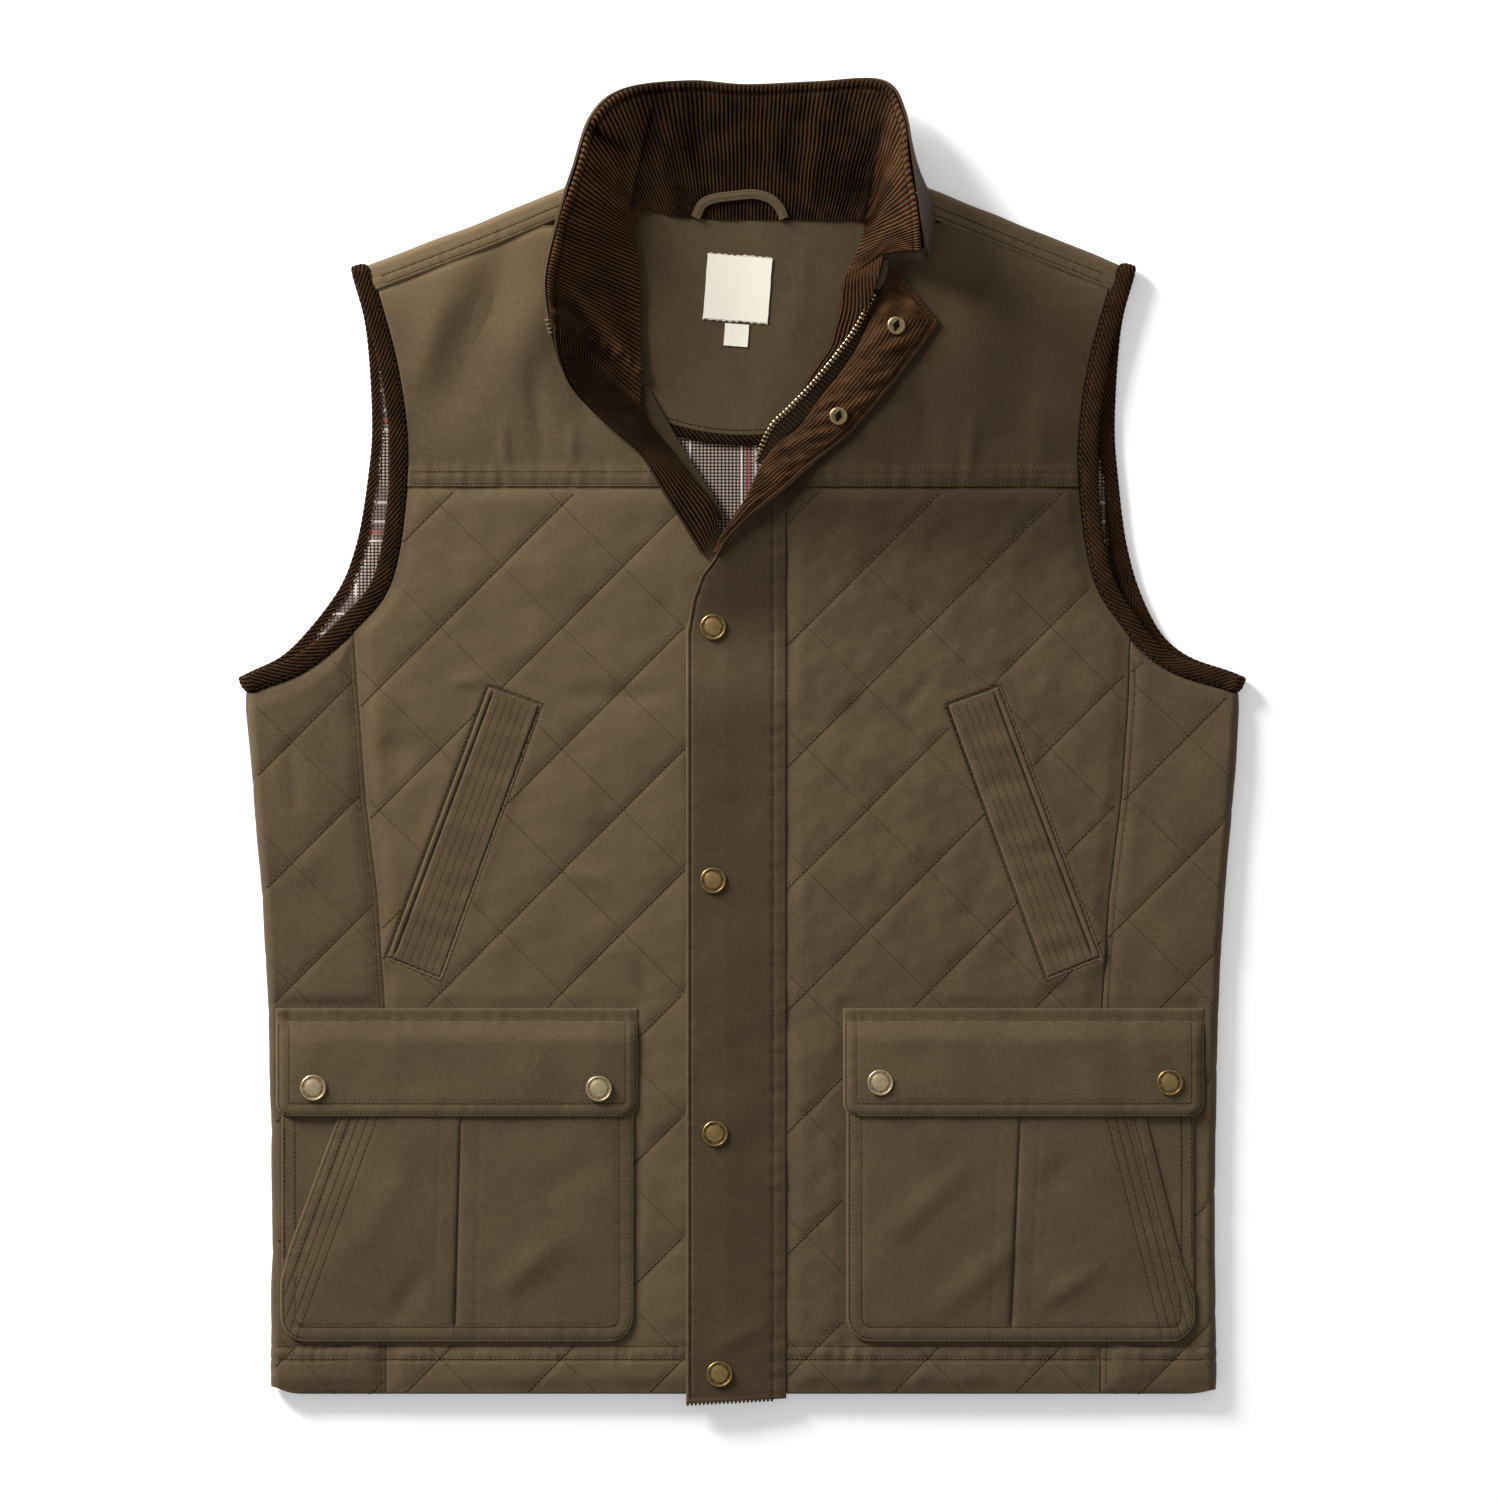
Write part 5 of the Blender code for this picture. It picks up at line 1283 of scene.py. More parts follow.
def pocket_line(side, inset):
    """Plan path inside a pocket's border: down its inner side, round the foot and up its outer side."""
    foot = POCKET_FOOT_Y + inset
    down = foot + np.linspace(0, 1, 200) ** 2 * (POCKET_TOP_Y - 40 - foot)
    low, high = pocket_front_sides(side, down, inset)
    inner = np.column_stack([low, down])[::-1]
    outer = np.column_stack([high, down])
    return trace(np.vstack([inner, outer[outer[:, 1] < BORDER_TOP_Y]]))


for side, word in SIDES:
    rounded = np.concatenate([np.linspace(0, 0.09, 20) ** 2 / 0.09, np.linspace(0.09, 1, 88)[1:]])[:, None]
    ys = POCKET_FOOT_Y + rounded * (POCKET_TOP_Y - POCKET_FOOT_Y)
    low, high = pocket_sides(side, ys, 0.5)
    halves = low + spread(200, 5.0)[None, :] * (high - low)
    ys = ys + 0 * halves
    edge = np.maximum(np.minimum(high - halves, ys - POCKET_FOOT_Y), 0)
    top = POCKET_BACK_TOP + 0.1 * drift(halves, ys, 85 + side, 20) - rolled(edge, 0.8)
    wall = shell(level(side * halves, ys, top), level(side * halves, ys, POCKET_BASE), flip=side == LEFT)
    cloth("pocket_back_" + word, [wall], CANVAS, level(halves, ys, 0))
    ys = POCKET_FOOT_Y + rounded * (POCKET_TOP_Y - POCKET_FOOT_Y)
    low, high = pocket_front_sides(side, ys)
    pleat = pleat_at(side, ys)
    halves = np.hstack([low + spread(100, 1.6)[None, :] * (pleat - low),
                        pleat + spread(100, 1.6)[None, 1:] * (high - pleat)])
    ys = ys + 0 * halves
    front = level(side * halves, ys, POCKET_Z + POCKET_WALL + pocket_rise(side, halves, ys))
    edge = least(halves - low, high - halves, ys - POCKET_FOOT_Y)
    rubbed = 0.8 * np.exp(-np.maximum(edge, 0) / 1.3)
    wall = shell(front, level(side * halves, ys, POCKET_Z), flip=side == LEFT, edge=rubbed)
    cloth("pocket_front_" + word, [wall], CANVAS, level(halves, ys, 0))
    borders = [pocket_line(side, inset) for inset in POCKET_ROWS]
    entries = []
    slant_y = np.linspace(POCKET_FOOT_Y + 3, ENTRY_TOP_Y, 140)
    for inset in SLANT_ROWS:
        row = np.column_stack([slant_line(side, slant_y) - inset, slant_y])
        entries.append(row[row[:, 0] < pocket_front_sides(side, slant_y, 1.6)[1]])
    lifted = []
    for row in borders + entries:
        z = POCKET_Z + POCKET_WALL + pocket_rise(side, *row.T)
        lifted.append(level(side * row[:, 0], row[:, 1], z))
    sew("pocket_entry_" + word, lifted[len(borders):], width=ENTRY_STITCH)
    lifted = lifted[:len(borders)]
    back_y = np.linspace(-296, ENTRY_TOP_Y, 100)
    for inset in BACK_ROWS:
        x = side * (POCKET_OUTER[side] - inset)
        shown = back_y[np.abs(x) > read(POCKET_SLANT[side], back_y) + 1]
        lifted.append(level(x + 0 * shown, shown, POCKET_BACK_TOP))
    sew("pocket_" + word, [row for row in lifted if len(row) > 3])

# Pocket flaps: two layers of canvas turned out, double-stitched round the border, sewn on along the top.
# Each falls over its pocket's mouth and is closed by two snaps.
FLAP_INNER = {LEFT: 60.7, RIGHT: 57.2}
FLAP_OUTER = {LEFT: 268.5, RIGHT: 264.4}
FLAP_WALL = 1.8
FLAP_CORNER = 8.0
FLAP_ROWS = (1.6, 7.4)
FLAP_SEAM_Y = -160.0
FLAP_FOLDS = {
    LEFT: (Fold(110, -165, 130, -214, 12, 0.6), Fold(200, -170, 190, -214, 14, -0.6),
           Fold(240, -162, 256, -196, 8, 0.5)),
    RIGHT: (Fold(221, -160, 236, -190, 5, 0.9), Fold(120, -166, 108, -214, 12, 0.6),
            Fold(180, -168, 188, -214, 13, -0.5)),
}


def flap_sides(side, y, inset=0.0):
    return cornered(FLAP_INNER[side], FLAP_OUTER[side], y - FLAP_FOOT_Y, FLAP_CORNER, inset)


def flap_base(side, half, y):
    """Height of a flap's underside: low where it is sewn on, then over the pocket, drooping at its sides."""
    low, high = flap_sides(side, y)
    beside = np.maximum(np.minimum(half - low, high - half), 0)
    over = POCKET_Z + POCKET_WALL + pocket_crown(side, half, np.minimum(y, POCKET_TOP_Y)) + 0.3 - POCKET_BASE
    return POCKET_BASE - 0.5 + (over + 0.5) * ease(FLAP_TOP_Y - 4 - y, 16) * (0.45 + 0.55 * ease(beside, 5))


def flap_rise(side, half, y):
    """Height of a flap's face over its underside."""
    low, high = flap_sides(side, y)
    edge = np.maximum(least(half - low, high - half, y - FLAP_FOOT_Y), 0)
    calm = ease(edge, 12)
    rise = FLAP_WALL + 0.3 * calm * drift(half, y, 91 + side, 40) + calm * folds(half, y, FLAP_FOLDS[side])
    for row in FLAP_ROWS:
        rise = rise - 0.4 * hump(edge - row, 1.2)
    rise = rise - 0.5 * hump(y - FLAP_SEAM_Y, 1.2)
    along = np.where(y - FLAP_FOOT_Y < np.minimum(half - low, high - half), half, y)
    rise = rise + 0.15 * pucker(along, edge - 4.5, 93 + side, 9.0, 4.0)
    rise = rise + 0.25 * pucker(half, y - FLAP_SEAM_Y, 95 + side, 8.0, 5.0)
    return rise - rolled(np.minimum(edge, FLAP_TOP_Y - y), 1.2)


for side, word in SIDES:
    rounded = np.concatenate([np.linspace(0, 0.13, 16) ** 2 / 0.13, np.linspace(0.13, 1, 38)[1:-3],
                              1 - np.array(RIM[::-1]) / 62])
    ys = FLAP_FOOT_Y + rounded[:, None] * (FLAP_TOP_Y - FLAP_FOOT_Y)
    low, high = flap_sides(side, ys)
    halves = low + spread(207, 1.8)[None, :] * (high - low)
    ys = ys + 0 * halves
    base = flap_base(side, halves, ys)
    edge = least(halves - low, high - halves, ys - FLAP_FOOT_Y)
    rubbed = 0.9 * np.exp(-np.maximum(edge, 0) / 1.0)
    top = level(side * halves, ys, base + flap_rise(side, halves, ys))
    wall = shell(top, level(side * halves, ys, base), flip=side == LEFT, edge=rubbed)
    cloth("pocket_flap_" + word, [wall], CANVAS, level(halves, ys, base))
    rows = [trace([(flap_sides(side, np.array(FLAP_SEAM_Y))[n], FLAP_SEAM_Y) for n in (0, 1)])[2:-2]]
    for inset in FLAP_ROWS:
        down = FLAP_FOOT_Y + inset + np.linspace(0, 1, 120) ** 2 * (FLAP_SEAM_Y - 1 - FLAP_FOOT_Y - inset)
        low, high = flap_sides(side, down, inset)
        rows.append(trace(np.vstack([np.column_stack([low, down])[::-1], np.column_stack([high, down])])))
    lifted = []
    for row in rows:
        z = flap_base(side, *row.T) + flap_rise(side, *row.T)
        lifted.append(level(side * row[:, 0], row[:, 1], z))
    sew("pocket_flap_" + word, lifted)

# Storm placket: a long canvas flap over the zip, sewn along its right edge and closed by four snaps.
# Its left edge is turned and edge-stitched; its top goes over into the turned-back corduroy lapel.
PLACKET_END_Y = -380.5
PLACKET_WALL = 1.9
PLACKET_SLOPE = 0.075
PLACKET_TILT = 0.05
BEAD_PITCH = 2.3
BEAD_SIZE = (1.9, 2.4, 1.6)
PLACKET_SEAM_X = 17.0
PLACKET_ROW = 2.7
PLACKET_FOLDS = (
    Fold(18, -332, -22, -352, 5, 0.8), Fold(-20, 40, 14, 20, 9, 0.5), Fold(-24, -30, 10, -44, 8, -0.5),
    Fold(-22, -120, 12, -150, 10, 0.5), Fold(-20, -180, 12, -172, 8, -0.4), Fold(-24, -260, 14, -282, 9, 0.5),
)


def placket_base(x):
    """Height of the placket's underside, going down to its seam."""
    return OVERLAY_Z - np.maximum(x + 10, 0) * PLACKET_SLOPE


def placket_foot(x):
    return PLACKET_END_Y + (x + 33) * PLACKET_TILT


def placket_painted_shade(x, y):
    """Share of painted shade on the placket: most at the top, under the lapel and collar, least just below.
    """
    return 0.53 + 0.5 * ease(y - 58, 25) - 0.5 * hump(y - 42, 18)


def placket_rise(x, y):
    """Height of the placket's face over its underside."""
    edge = np.maximum(np.minimum(x - read(PLACKET_LEFT_EDGE, y), y - placket_foot(x)), 0)
    calm = ease(edge, 8)
    rise = PLACKET_WALL + 0.3 * calm * drift(x, y, 101, 44) + calm * folds(x, y, PLACKET_FOLDS)
    rise = rise - 0.8 * hump(edge - PLACKET_ROW, 0.7) + 0.2 * hump(edge - 1.1, 0.7)
    rise = rise - 0.55 * hump(x - PLACKET_SEAM_X, 1.0)
    rise = rise + 0.2 * ease(x - PLACKET_SEAM_X, 2.5)
    rise = rise + 0.35 * pucker(y, x - PLACKET_SEAM_X - 2, 103, 7.0, 4.5)
    rise = rise + 0.2 * pucker(y, edge - PLACKET_ROW, 104, 6.0, 3.0)
    return rise - rolled(edge, 1.3) - rolled(np.maximum(PLACKET_RIGHT + 0.1 - x, 0), 0.7)


shares = spread(526, 1.9)[:, None]
ys = PLACKET_END_Y + shares * (YOKE_SEAM_Y - SEAM_GAP - PLACKET_END_Y)
edge_x = read(PLACKET_LEFT_EDGE, ys)
xs = edge_x + spread(57, 1.05)[None, :] * (PLACKET_RIGHT + 0.1 - edge_x)
ys = ys + (placket_foot(xs) - PLACKET_END_Y) * (1 - shares)
base = placket_base(xs)
rubbed = hump(np.maximum(np.minimum(xs - edge_x, ys - placket_foot(xs)), 0), 1.5)
top = level(xs, ys, base + placket_rise(xs, ys))
wall = shell(top, level(xs, ys, base), edge=rubbed)
cloth("placket", [wall], CANVAS, level(xs, ys, base), nap_and_painted_shade=placket_painted_shade)
row_y = trace([(PLACKET_END_Y + PLACKET_ROW, 0), (138, 0)])[:, 0]
rows = [np.column_stack([read(PLACKET_LEFT_EDGE, row_y) + PLACKET_ROW, row_y]),
        np.column_stack([PLACKET_SEAM_X + 0 * row_y, row_y]),
        trace([(x, placket_foot(x) + PLACKET_ROW) for x in (-33 + PLACKET_ROW, PLACKET_SEAM_X)])]
sew("placket", [level(row[:, 0], row[:, 1], placket_base(row[:, 0]) + placket_rise(row[:, 0], row[:, 1]))
                for row in rows])

bead_x = np.arange(-32, PLACKET_SEAM_X, BEAD_PITCH)
beads = level(bead_x, placket_foot(bead_x) - 0.4, placket_base(bead_x) + 1.0)
ahead, over = np.tile([1.0, 0, 0], (len(beads), 1)), np.tile([0, 0, 1.0], (len(beads), 1))
points, faces, shades = scatter(HOLE_BODY, HOLE_FACES, beads, ahead, over, BEAD_SIZE)
piece("placket_foot_facing", [(points, faces, shades + 1)], CORDUROY, mark="painted_cord_shade")

# Zip: dark woven tapes with cast brass teeth, one tape showing beside the turned-back lapel.
# The closed run of it lies hidden under the placket; the tapes are sewn in along the opening.
Strip = namedtuple("Strip", "left right crown", defaults=(0,))
ZIP_RIGHT = (
    Strip((7.4, 160, 10.2), (9.7, 158.8, 10.6)), Strip((9.6, 167.3, 10.4), (14.8, 166.4, 10.2)),
    Strip((16.2, 180.9, 11.2), (26.3, 177.4, 10.0)), Strip((25.5, 190.2, 11.4), (35.6, 186, 10.0)),
    Strip((37.0, 202.2, 11.6), (44.7, 200.2, 10.0)), Strip((46.8, 213.5, 11.8), (54.9, 212.4, 10.0)),
    Strip((56.4, 225.8, 12), (63.4, 225.2, 10.0)), Strip((65.0, 238.6, 12.2), (70.1, 239.2, 10.0)),
    Strip((74.6, 258.4, 13.4), (75.4, 258.8, 11.0)),
)
ZIP_LEFT = (Strip((-105.4, 216.5, 21.5), (-102.2, 216.9, 21.5)),
            Strip((-109.6, 231.0, 28.6), (-106.4, 231.4, 28.6)),
            Strip((-112.6, 243.5, 32.5), (-109.4, 243.9, 32.5)))
ZIP_WALL = 1.6
TOOTH_PITCH = 2.5
TOOTH_STEP = 0.5
TOOTH_SIZE = (3.2, 1.2, 1.5)
LEFT_TEETH_FROM_Y = 233.0


def woven_tape(name, dark, light):
    """Herringbone cotton tape: close slanting ribs, dyed nearly black, dull."""
    made, tree, shader, place = plain_material(name)
    rib_mm = 0.9
    ribs = add(tree, "TexWave", {"bands_direction": "DIAGONAL"},
               {"Vector": place, "Scale": 1 / (rib_mm * MM * 6.28), "Distortion": 1.5})
    tint = add(tree, "Mix", {"data_type": "RGBA"},
               {0: ribs.outputs["Fac"], 6: linear(dark), 7: linear(light)})
    relief = add(tree, "Bump", {}, {"Strength": 0.4, "Distance": 0.2 * MM, "Height": ribs.outputs["Fac"]})
    feed(tree, shader, {"Base Color": tint.outputs[2], "Normal": relief, "Roughness": 0.95,
                        "Specular IOR Level": 0.05})
    return made


def aged_brass(name, bright, dull):
    """Stamped brass with an aged finish: warm metal on the crowns, brown tarnish in the hollows."""
    made, tree, shader, place = plain_material(name)
    stain_mm = 2.2
    stain = add(tree, "TexNoise", {}, {"Vector": place, "Scale": 1 / (stain_mm * MM), "Detail": 4.0})
    hollow = add(tree, "Attribute", {"attribute_name": "hollow"}, {})
    spread_out = add(tree, "Math", {"operation": "MULTIPLY_ADD"}, {0: stain, 1: 1.2, 2: -0.4})
    shade = add(tree, "Math", {"operation": "ADD", "use_clamp": True},
                {0: hollow.outputs["Fac"], 1: spread_out})
    tint = add(tree, "Mix", {"data_type": "RGBA"}, {0: shade, 6: linear(bright), 7: linear(dull)})
    polish = add(tree, "Math", {"operation": "MULTIPLY_ADD"}, {0: shade, 1: 0.25, 2: 0.3})
    feed(tree, shader, {"Base Color": tint.outputs[2], "Roughness": polish, "Metallic": 1.0})
    return made


ZIP_TAPE = woven_tape("dark_woven_zip_tape", "#1A120B", "#33251A")
TOOTH_BRASS = aged_brass("cast_zip_brass", "#C4AC80", "#5E4A2E")
TOOTH_BODY = np.array([(x, y, z) for z, grow in ((-0.5, 1), (0.2, 1), (0.5, 0.7)) for x, y in
                       ((-0.5 * grow, -0.5 * grow), (0.5 * grow, -0.5 * grow), (0.5 * grow, 0.5 * grow),
                        (-0.5 * grow, 0.5 * grow))])
TOOTH_FACES = np.array([[3, 2, 1, 0], [8, 9, 10, 11]]
                       + [[a + n, a + (n + 1) % 4, a + 4 + (n + 1) % 4, a + 4 + n]
                          for a in (0, 4) for n in range(4)])


def facing(grid):
    """Unit normals of a grid of points."""
    normals = np.cross(np.gradient(grid, axis=1), np.gradient(grid, axis=0))
    return unit(normals)


def band(table, step, across):
    """Points of a strip of cloth lofted smoothly through the rows of a table, crowned between its edges."""
    left, right = (smooth([row[n] for row in table], 12) for n in (0, 1))
    crown = smooth([(row.crown, 0) for row in table], 12)[:, 0]
    middle = (left + right) / 2
    lengths = run_lengths(middle)
    places = np.linspace(0, lengths[-1], int(lengths[-1] / step))
    left, right = (at_marks(places, lengths, rows) for rows in (left, right))
    crown = np.interp(places, lengths, crown)
    shares = np.linspace(0, 1, across)[None, :, None]
    points = left[:, None] + (right - left)[:, None] * shares
    points[..., 2] += crown[:, None] * np.sin(math.pi * shares[..., 0])
    return points


for word, table in (("left", ZIP_LEFT), ("right", ZIP_RIGHT)):
    under = band(table, 1.2, 8)
    wall = shell(under + facing(under) * ZIP_WALL * 0.7, under)
    cloth("zip_tape_" + word, [wall], ZIP_TAPE, under)
    edge_path = trace(under[:, 0] + facing(under)[:, 0] * ZIP_WALL * 0.75, TOOTH_STEP)
    over_path = facing(under)[:, 0].mean(axis=0)
    picks = np.arange(1, len(edge_path) - 1, int(TOOTH_PITCH / TOOTH_STEP))
    if word == "left":
        picks = picks[edge_path[picks, 1] > LEFT_TEETH_FROM_Y]
    ahead = np.gradient(edge_path, axis=0)[picks]
    teeth = scatter(TOOTH_BODY, TOOTH_FACES, edge_path[picks], np.cross(ahead, over_path),
                    np.tile(over_path, (len(picks), 1)), TOOTH_SIZE)
    piece("zip_teeth_" + word, [teeth], TOOTH_BRASS, mark="hollow")
for slot in frame["nodes"]["zip_closed"].material_slots:
    slot.material = ZIP_TAPE

# Collar: a standing collar with a corduroy lining inside and canvas outside, the two sewn at the top edge.
# The cords run up from the neck seam to the top edge, with a row of topstitching just below it.
Section = namedtuple("Section", "top lining_foot outer_foot sag")
COLLAR = (
    Section((-110.5, 238, 33), (-59, 191.0, 10.5), (-98, 232, 11.4), 5),
    Section((-112.4, 265, 42), (-59.5, 239, 10.0), (-103, 260, 11.0), 5),
    Section((-105.5, 297, 46), (-61, 278, 9.5), (-104, 290, 10.6), 5),
    Section((-96, 327, 44), (-62, 297.5, 8.5), (-103.4, 313.5, 6.0), 5),
    Section((-86, 357.5, 33), (-55, 304.4, 7.2), (-90, 314.5, 3.0), 4),
    Section((-68, 373.5, 21), (-40, 301.6, 5.8), (-60, 308.5, 2.0), 2),
    Section((-31, 378.6, 12), (-22, 300.0, 5.3), (-26, 305.0, 1.8), 0),
    Section((1, 376.5, 10), (1, 299.4, 5.3), (1, 304.2, 1.8), 0),
    Section((41, 378, 12), (33, 299.4, 5.3), (37, 305.8, 1.8), 0),
    Section((78.5, 378.4, 21), (58, 299.4, 6.2), (72, 309.6, 2.0), 2),
    Section((90.5, 361, 34), (69, 299.8, 8.4), (94, 314.6, 3.0), 4),
    Section((95.5, 330, 44), (70.5, 297.5, 9.2), (106.5, 313.5, 6.0), 5),
    Section((100, 300, 46), (68.5, 288, 9.8), (108.5, 296, 10.4), 5),
    Section((102.5, 281.5, 40), (57, 259, 10.5), (105, 277.5, 10.6), 4),
)
COLLAR_PARTS = 16
COLLAR_STEP = 0.55
END_SECTION = 12
NEAR_TOP = (0, 0.008, 0.02, 0.034, 0.048, 0.06, 0.072, 0.084, 0.098, 0.115, 0.135)
COLLAR_LINING_WALL = 1.8
COLLAR_OUTER_WALL = 1.4
OUTER_SHARES = np.linspace(0, 1, 26)
TOP_ROLL = 0.8
COLLAR_ROW = 5.0
CORD_RISE = 0.9
END_BOW = 8.0
JOINT_RIDGE = 12.0
END_BAND = (0, -6.5, -9.0)
END_WALL = 0.8
COLLAR_FOLDS = (
    Fold(-106, 270, -62, 212, 4.5, 2.2), Fold(-102, 254, -62, 200, 5.5, -1.7),
    Fold(-112, 285, -84, 268, 5, 0.9),
    Fold(-90, 353, -64, 337, 3.5, -2.0), Fold(-72, 364, -60, 346, 7, 0.8), Fold(-43, 374, -47, 308, 6, 1.0),
    Fold(-29, 370, -30, 328, 6, -1.1), Fold(-4, 374, -6, 306, 9, 0.5), Fold(28, 368, 24, 318, 6, -1.0),
    Fold(45, 376, 36, 302, 6, 1.4), Fold(62, 334, 60, 302, 8, -1.6), Fold(96, 316, 80, 300, 8, -0.6),
)
Turn = namedtuple("Turn", "x0 y0 x1 y1 way")
COLLAR_TURNS = (Turn(-50, 378, -67, 302, 1), Turn(83, 362, 70, 296, -1))
TURN_STEP = 1.1
TURN_REACH = 7.0
# Gain and power of the collar pile's tone at these marks along its top: painted light raises the left panel,
# which faces away from the lamp, and the right panel, and the back stays darker.
PILE_SECTIONS = [0, 24, 48, 64, 84, 148, 160, 208]
PILE_GAIN = (1.0, 1.5, 2.3, 2.2, 0.55, 0.55, 1.5, 1.5)
PILE_POWER = (1.3, 1.7, 2.0, 2.0, 1.4, 1.4, 1.4, 1.4)


def collar_painted_shade(x, y):
    """Share of painted shade on the outer collar: all of it on the right."""
    return ease(x - 30, 60)


collar_paths = [smooth([section[n] for section in COLLAR], COLLAR_PARTS) for n in range(3)]
collar_sags = smooth([(section.sag, 0) for section in COLLAR], COLLAR_PARTS)[:, 0]
top_lengths = run_lengths(collar_paths[0])
middle_lengths = run_lengths((collar_paths[0] + collar_paths[1]) / 2)
cord_marks = np.linspace(0, middle_lengths[-1], int(middle_lengths[-1] / COLLAR_STEP))
top_marks = np.interp(cord_marks, middle_lengths, top_lengths)
tops, lining_feet, outer_feet = (at_marks(top_marks, top_lengths, path) for path in collar_paths)
sags = np.interp(top_marks, top_lengths, collar_sags)
ups = 1 - np.append(NEAR_TOP, np.linspace(0.16, 1, 36))[::-1]
lining = lining_feet + (tops - lining_feet) * ups[:, None, None]
lining[..., 2] -= sags * np.sin(math.pi * ups)[:, None]
end_from = top_lengths[END_SECTION * COLLAR_PARTS]
at_end = np.clip((top_marks - end_from) / (top_lengths[-1] - end_from), 0, 1) ** 2
lining[..., 1] += END_BOW * np.sin(math.pi * ups)[:, None] * at_end
heights = np.linalg.norm(tops - lining_feet, axis=1)
from_top = (1 - ups)[:, None] * heights
ribs = cords(cord_marks[None, :] + 0.3 * drift(from_top, top_marks[None, :] * 0.2, 111, 30))
face = facing(lining)
creases = folds(lining[..., 0], lining[..., 1], COLLAR_FOLDS)
rise = COLLAR_LINING_WALL - 0.5 + CORD_RISE * (ribs - 0.5)
rise = rise + 0.6 * drift(top_marks[None, :], from_top, 112, 36)
behind = np.zeros(rise.shape)
for turn in COLLAR_TURNS:
    share = (turn.y0 - lining[..., 1]) / (turn.y0 - turn.y1)
    beside = (lining[..., 0] - turn.x0 - (turn.x1 - turn.x0) * share) * turn.way
    ends = ease(share, 0.3) * ease(1 - share, 0.1)
    behind = behind + np.exp(-np.maximum(beside, 0) / TURN_REACH) * (beside > 0) * ends
rise = rise + creases - TURN_STEP * behind
joint = top_marks[None, :] - JOINT_RIDGE - 1.5 * drift(from_top, 0 * from_top, 113, 20)
ridge = (1.2 + 0.8 * drift(from_top, top_marks[None, :], 114, 7)) * hump(joint, 3)
rise = rise + 1.4 * ridge
groove = hump(from_top - COLLAR_ROW, 0.9)
roll = hump(from_top - 2.5, 1.6)
streaks = drift(top_marks[None, :], 0.25 * from_top, 115, 9)
rise = rise - 0.9 * groove + 0.5 * roll
pile_gain = np.interp(top_marks, top_lengths[PILE_SECTIONS], PILE_GAIN)
pile_power = np.interp(top_marks, top_lengths[PILE_SECTIONS], PILE_POWER)
# Painted shade and light on the pile: darker in the crease troughs, beside each turned-back panel where its
# shadow falls, and in the stitch groove; lighter on crease ridges, the joint's ridge and the rolled top. The
# streaks are random tone.
painted_shade_and_light = 1 + 0.35 * creases + 0.3 * ridge + 0.15 * streaks - 0.7 * behind + 0.2 * roll - 0.6 * groove
pile = pile_gain * ribs ** pile_power * np.maximum(painted_shade_and_light, 0)
rise = rise - rolled(from_top, 1.3)
lining_top = lining + face * rise[..., None]
wall = shell(lining_top, lining, edge=pile)
cloth("collar_lining", [wall], CORDUROY, lining, mark="painted_cord_shade")
row = np.argmin(np.abs(from_top - COLLAR_ROW), axis=0)
columns = np.arange(len(top_marks))
sew("collar", [lining_top[row, columns][4:-4]], overs=[face[row, columns][4:-4]], thread=DARK_THREAD)
upward = unit(lining[-1] - lining[-2])
rims = tops - face[-1] * TOP_ROLL + upward * TOP_ROLL
outer_rows = outer_feet + (rims - outer_feet) * OUTER_SHARES[:, None, None]
outer_rows = outer_rows[:, ::3]
outside = outer_rows - facing(outer_rows) * COLLAR_OUTER_WALL
end_edge = lining[ups > 0.5, -1]
end_rows = end_edge[None] + np.linspace(0, 1, 6)[:, None, None] * END_BAND
end_rows[..., 2] += 1.2 * np.sin(np.linspace(0, math.pi, 6))[:, None]
end_band = shell(end_rows + facing(end_rows) * COLLAR_OUTER_WALL, end_rows, coarse=1)
end_ups = np.linspace(0.02, 0.98, 24)
lining_end = at_marks(end_ups, ups, lining[:, -1])
outer_end = at_marks(end_ups, OUTER_SHARES, outer_rows[:, -1])
end_web = lining_end[:, None] + (outer_end - lining_end)[:, None] * np.linspace(0, 1, 10)[None, :, None]
end_wall = shell(end_web + facing(end_web) * END_WALL, end_web, coarse=1)
walls = [shell(outside, outer_rows, flip=True), end_band, end_wall]
cloth("collar_outer", walls, CANVAS, outer_rows, nap_and_painted_shade=collar_painted_shade)

# Hanging loop: a folded tape of canvas, edge-stitched, its two ends caught in the back neck seam.
# It stands up a little over the collar's lining in a flat arch.
LOOP_PATH = ((-27.5, 300.6), (-23.9, 308), (-17.5, 311.4), (-6, 313), (6, 314), (15.2, 311.4), (20.6, 306.6),
             (23.4, 300.2))
LOOP_WIDTH = 5.5
LOOP_WALL = 1.6
LOOP_Z = 7.2
LOOP_SLOPE = 0.11
loop_line = trace(smooth(LOOP_PATH, 8), 0.6)
loop_ahead = np.gradient(loop_line, axis=0)
loop_out = unit(np.stack([-loop_ahead[:, 1], loop_ahead[:, 0]], axis=1))
shares = spread(LOOP_WIDTH, 0.6)[:, None, None] - 0.5
plan = loop_line + loop_out * LOOP_WIDTH * shares
under = level(plan[..., 0], plan[..., 1], LOOP_Z + LOOP_SLOPE * np.maximum(plan[..., 1] - BACK_NECK_Y, 0))
edge = (0.5 - np.abs(shares[..., 0])) * LOOP_WIDTH
rise = LOOP_WALL - rolled(edge, 0.8) - 0.3 * hump(edge - 1.3, 0.5) + 0 * plan[..., 0]
wall = shell(under + rise[..., None] * [0, 0, 1], under, flip=True)
cloth("hanging_loop", [wall], CANVAS, under)

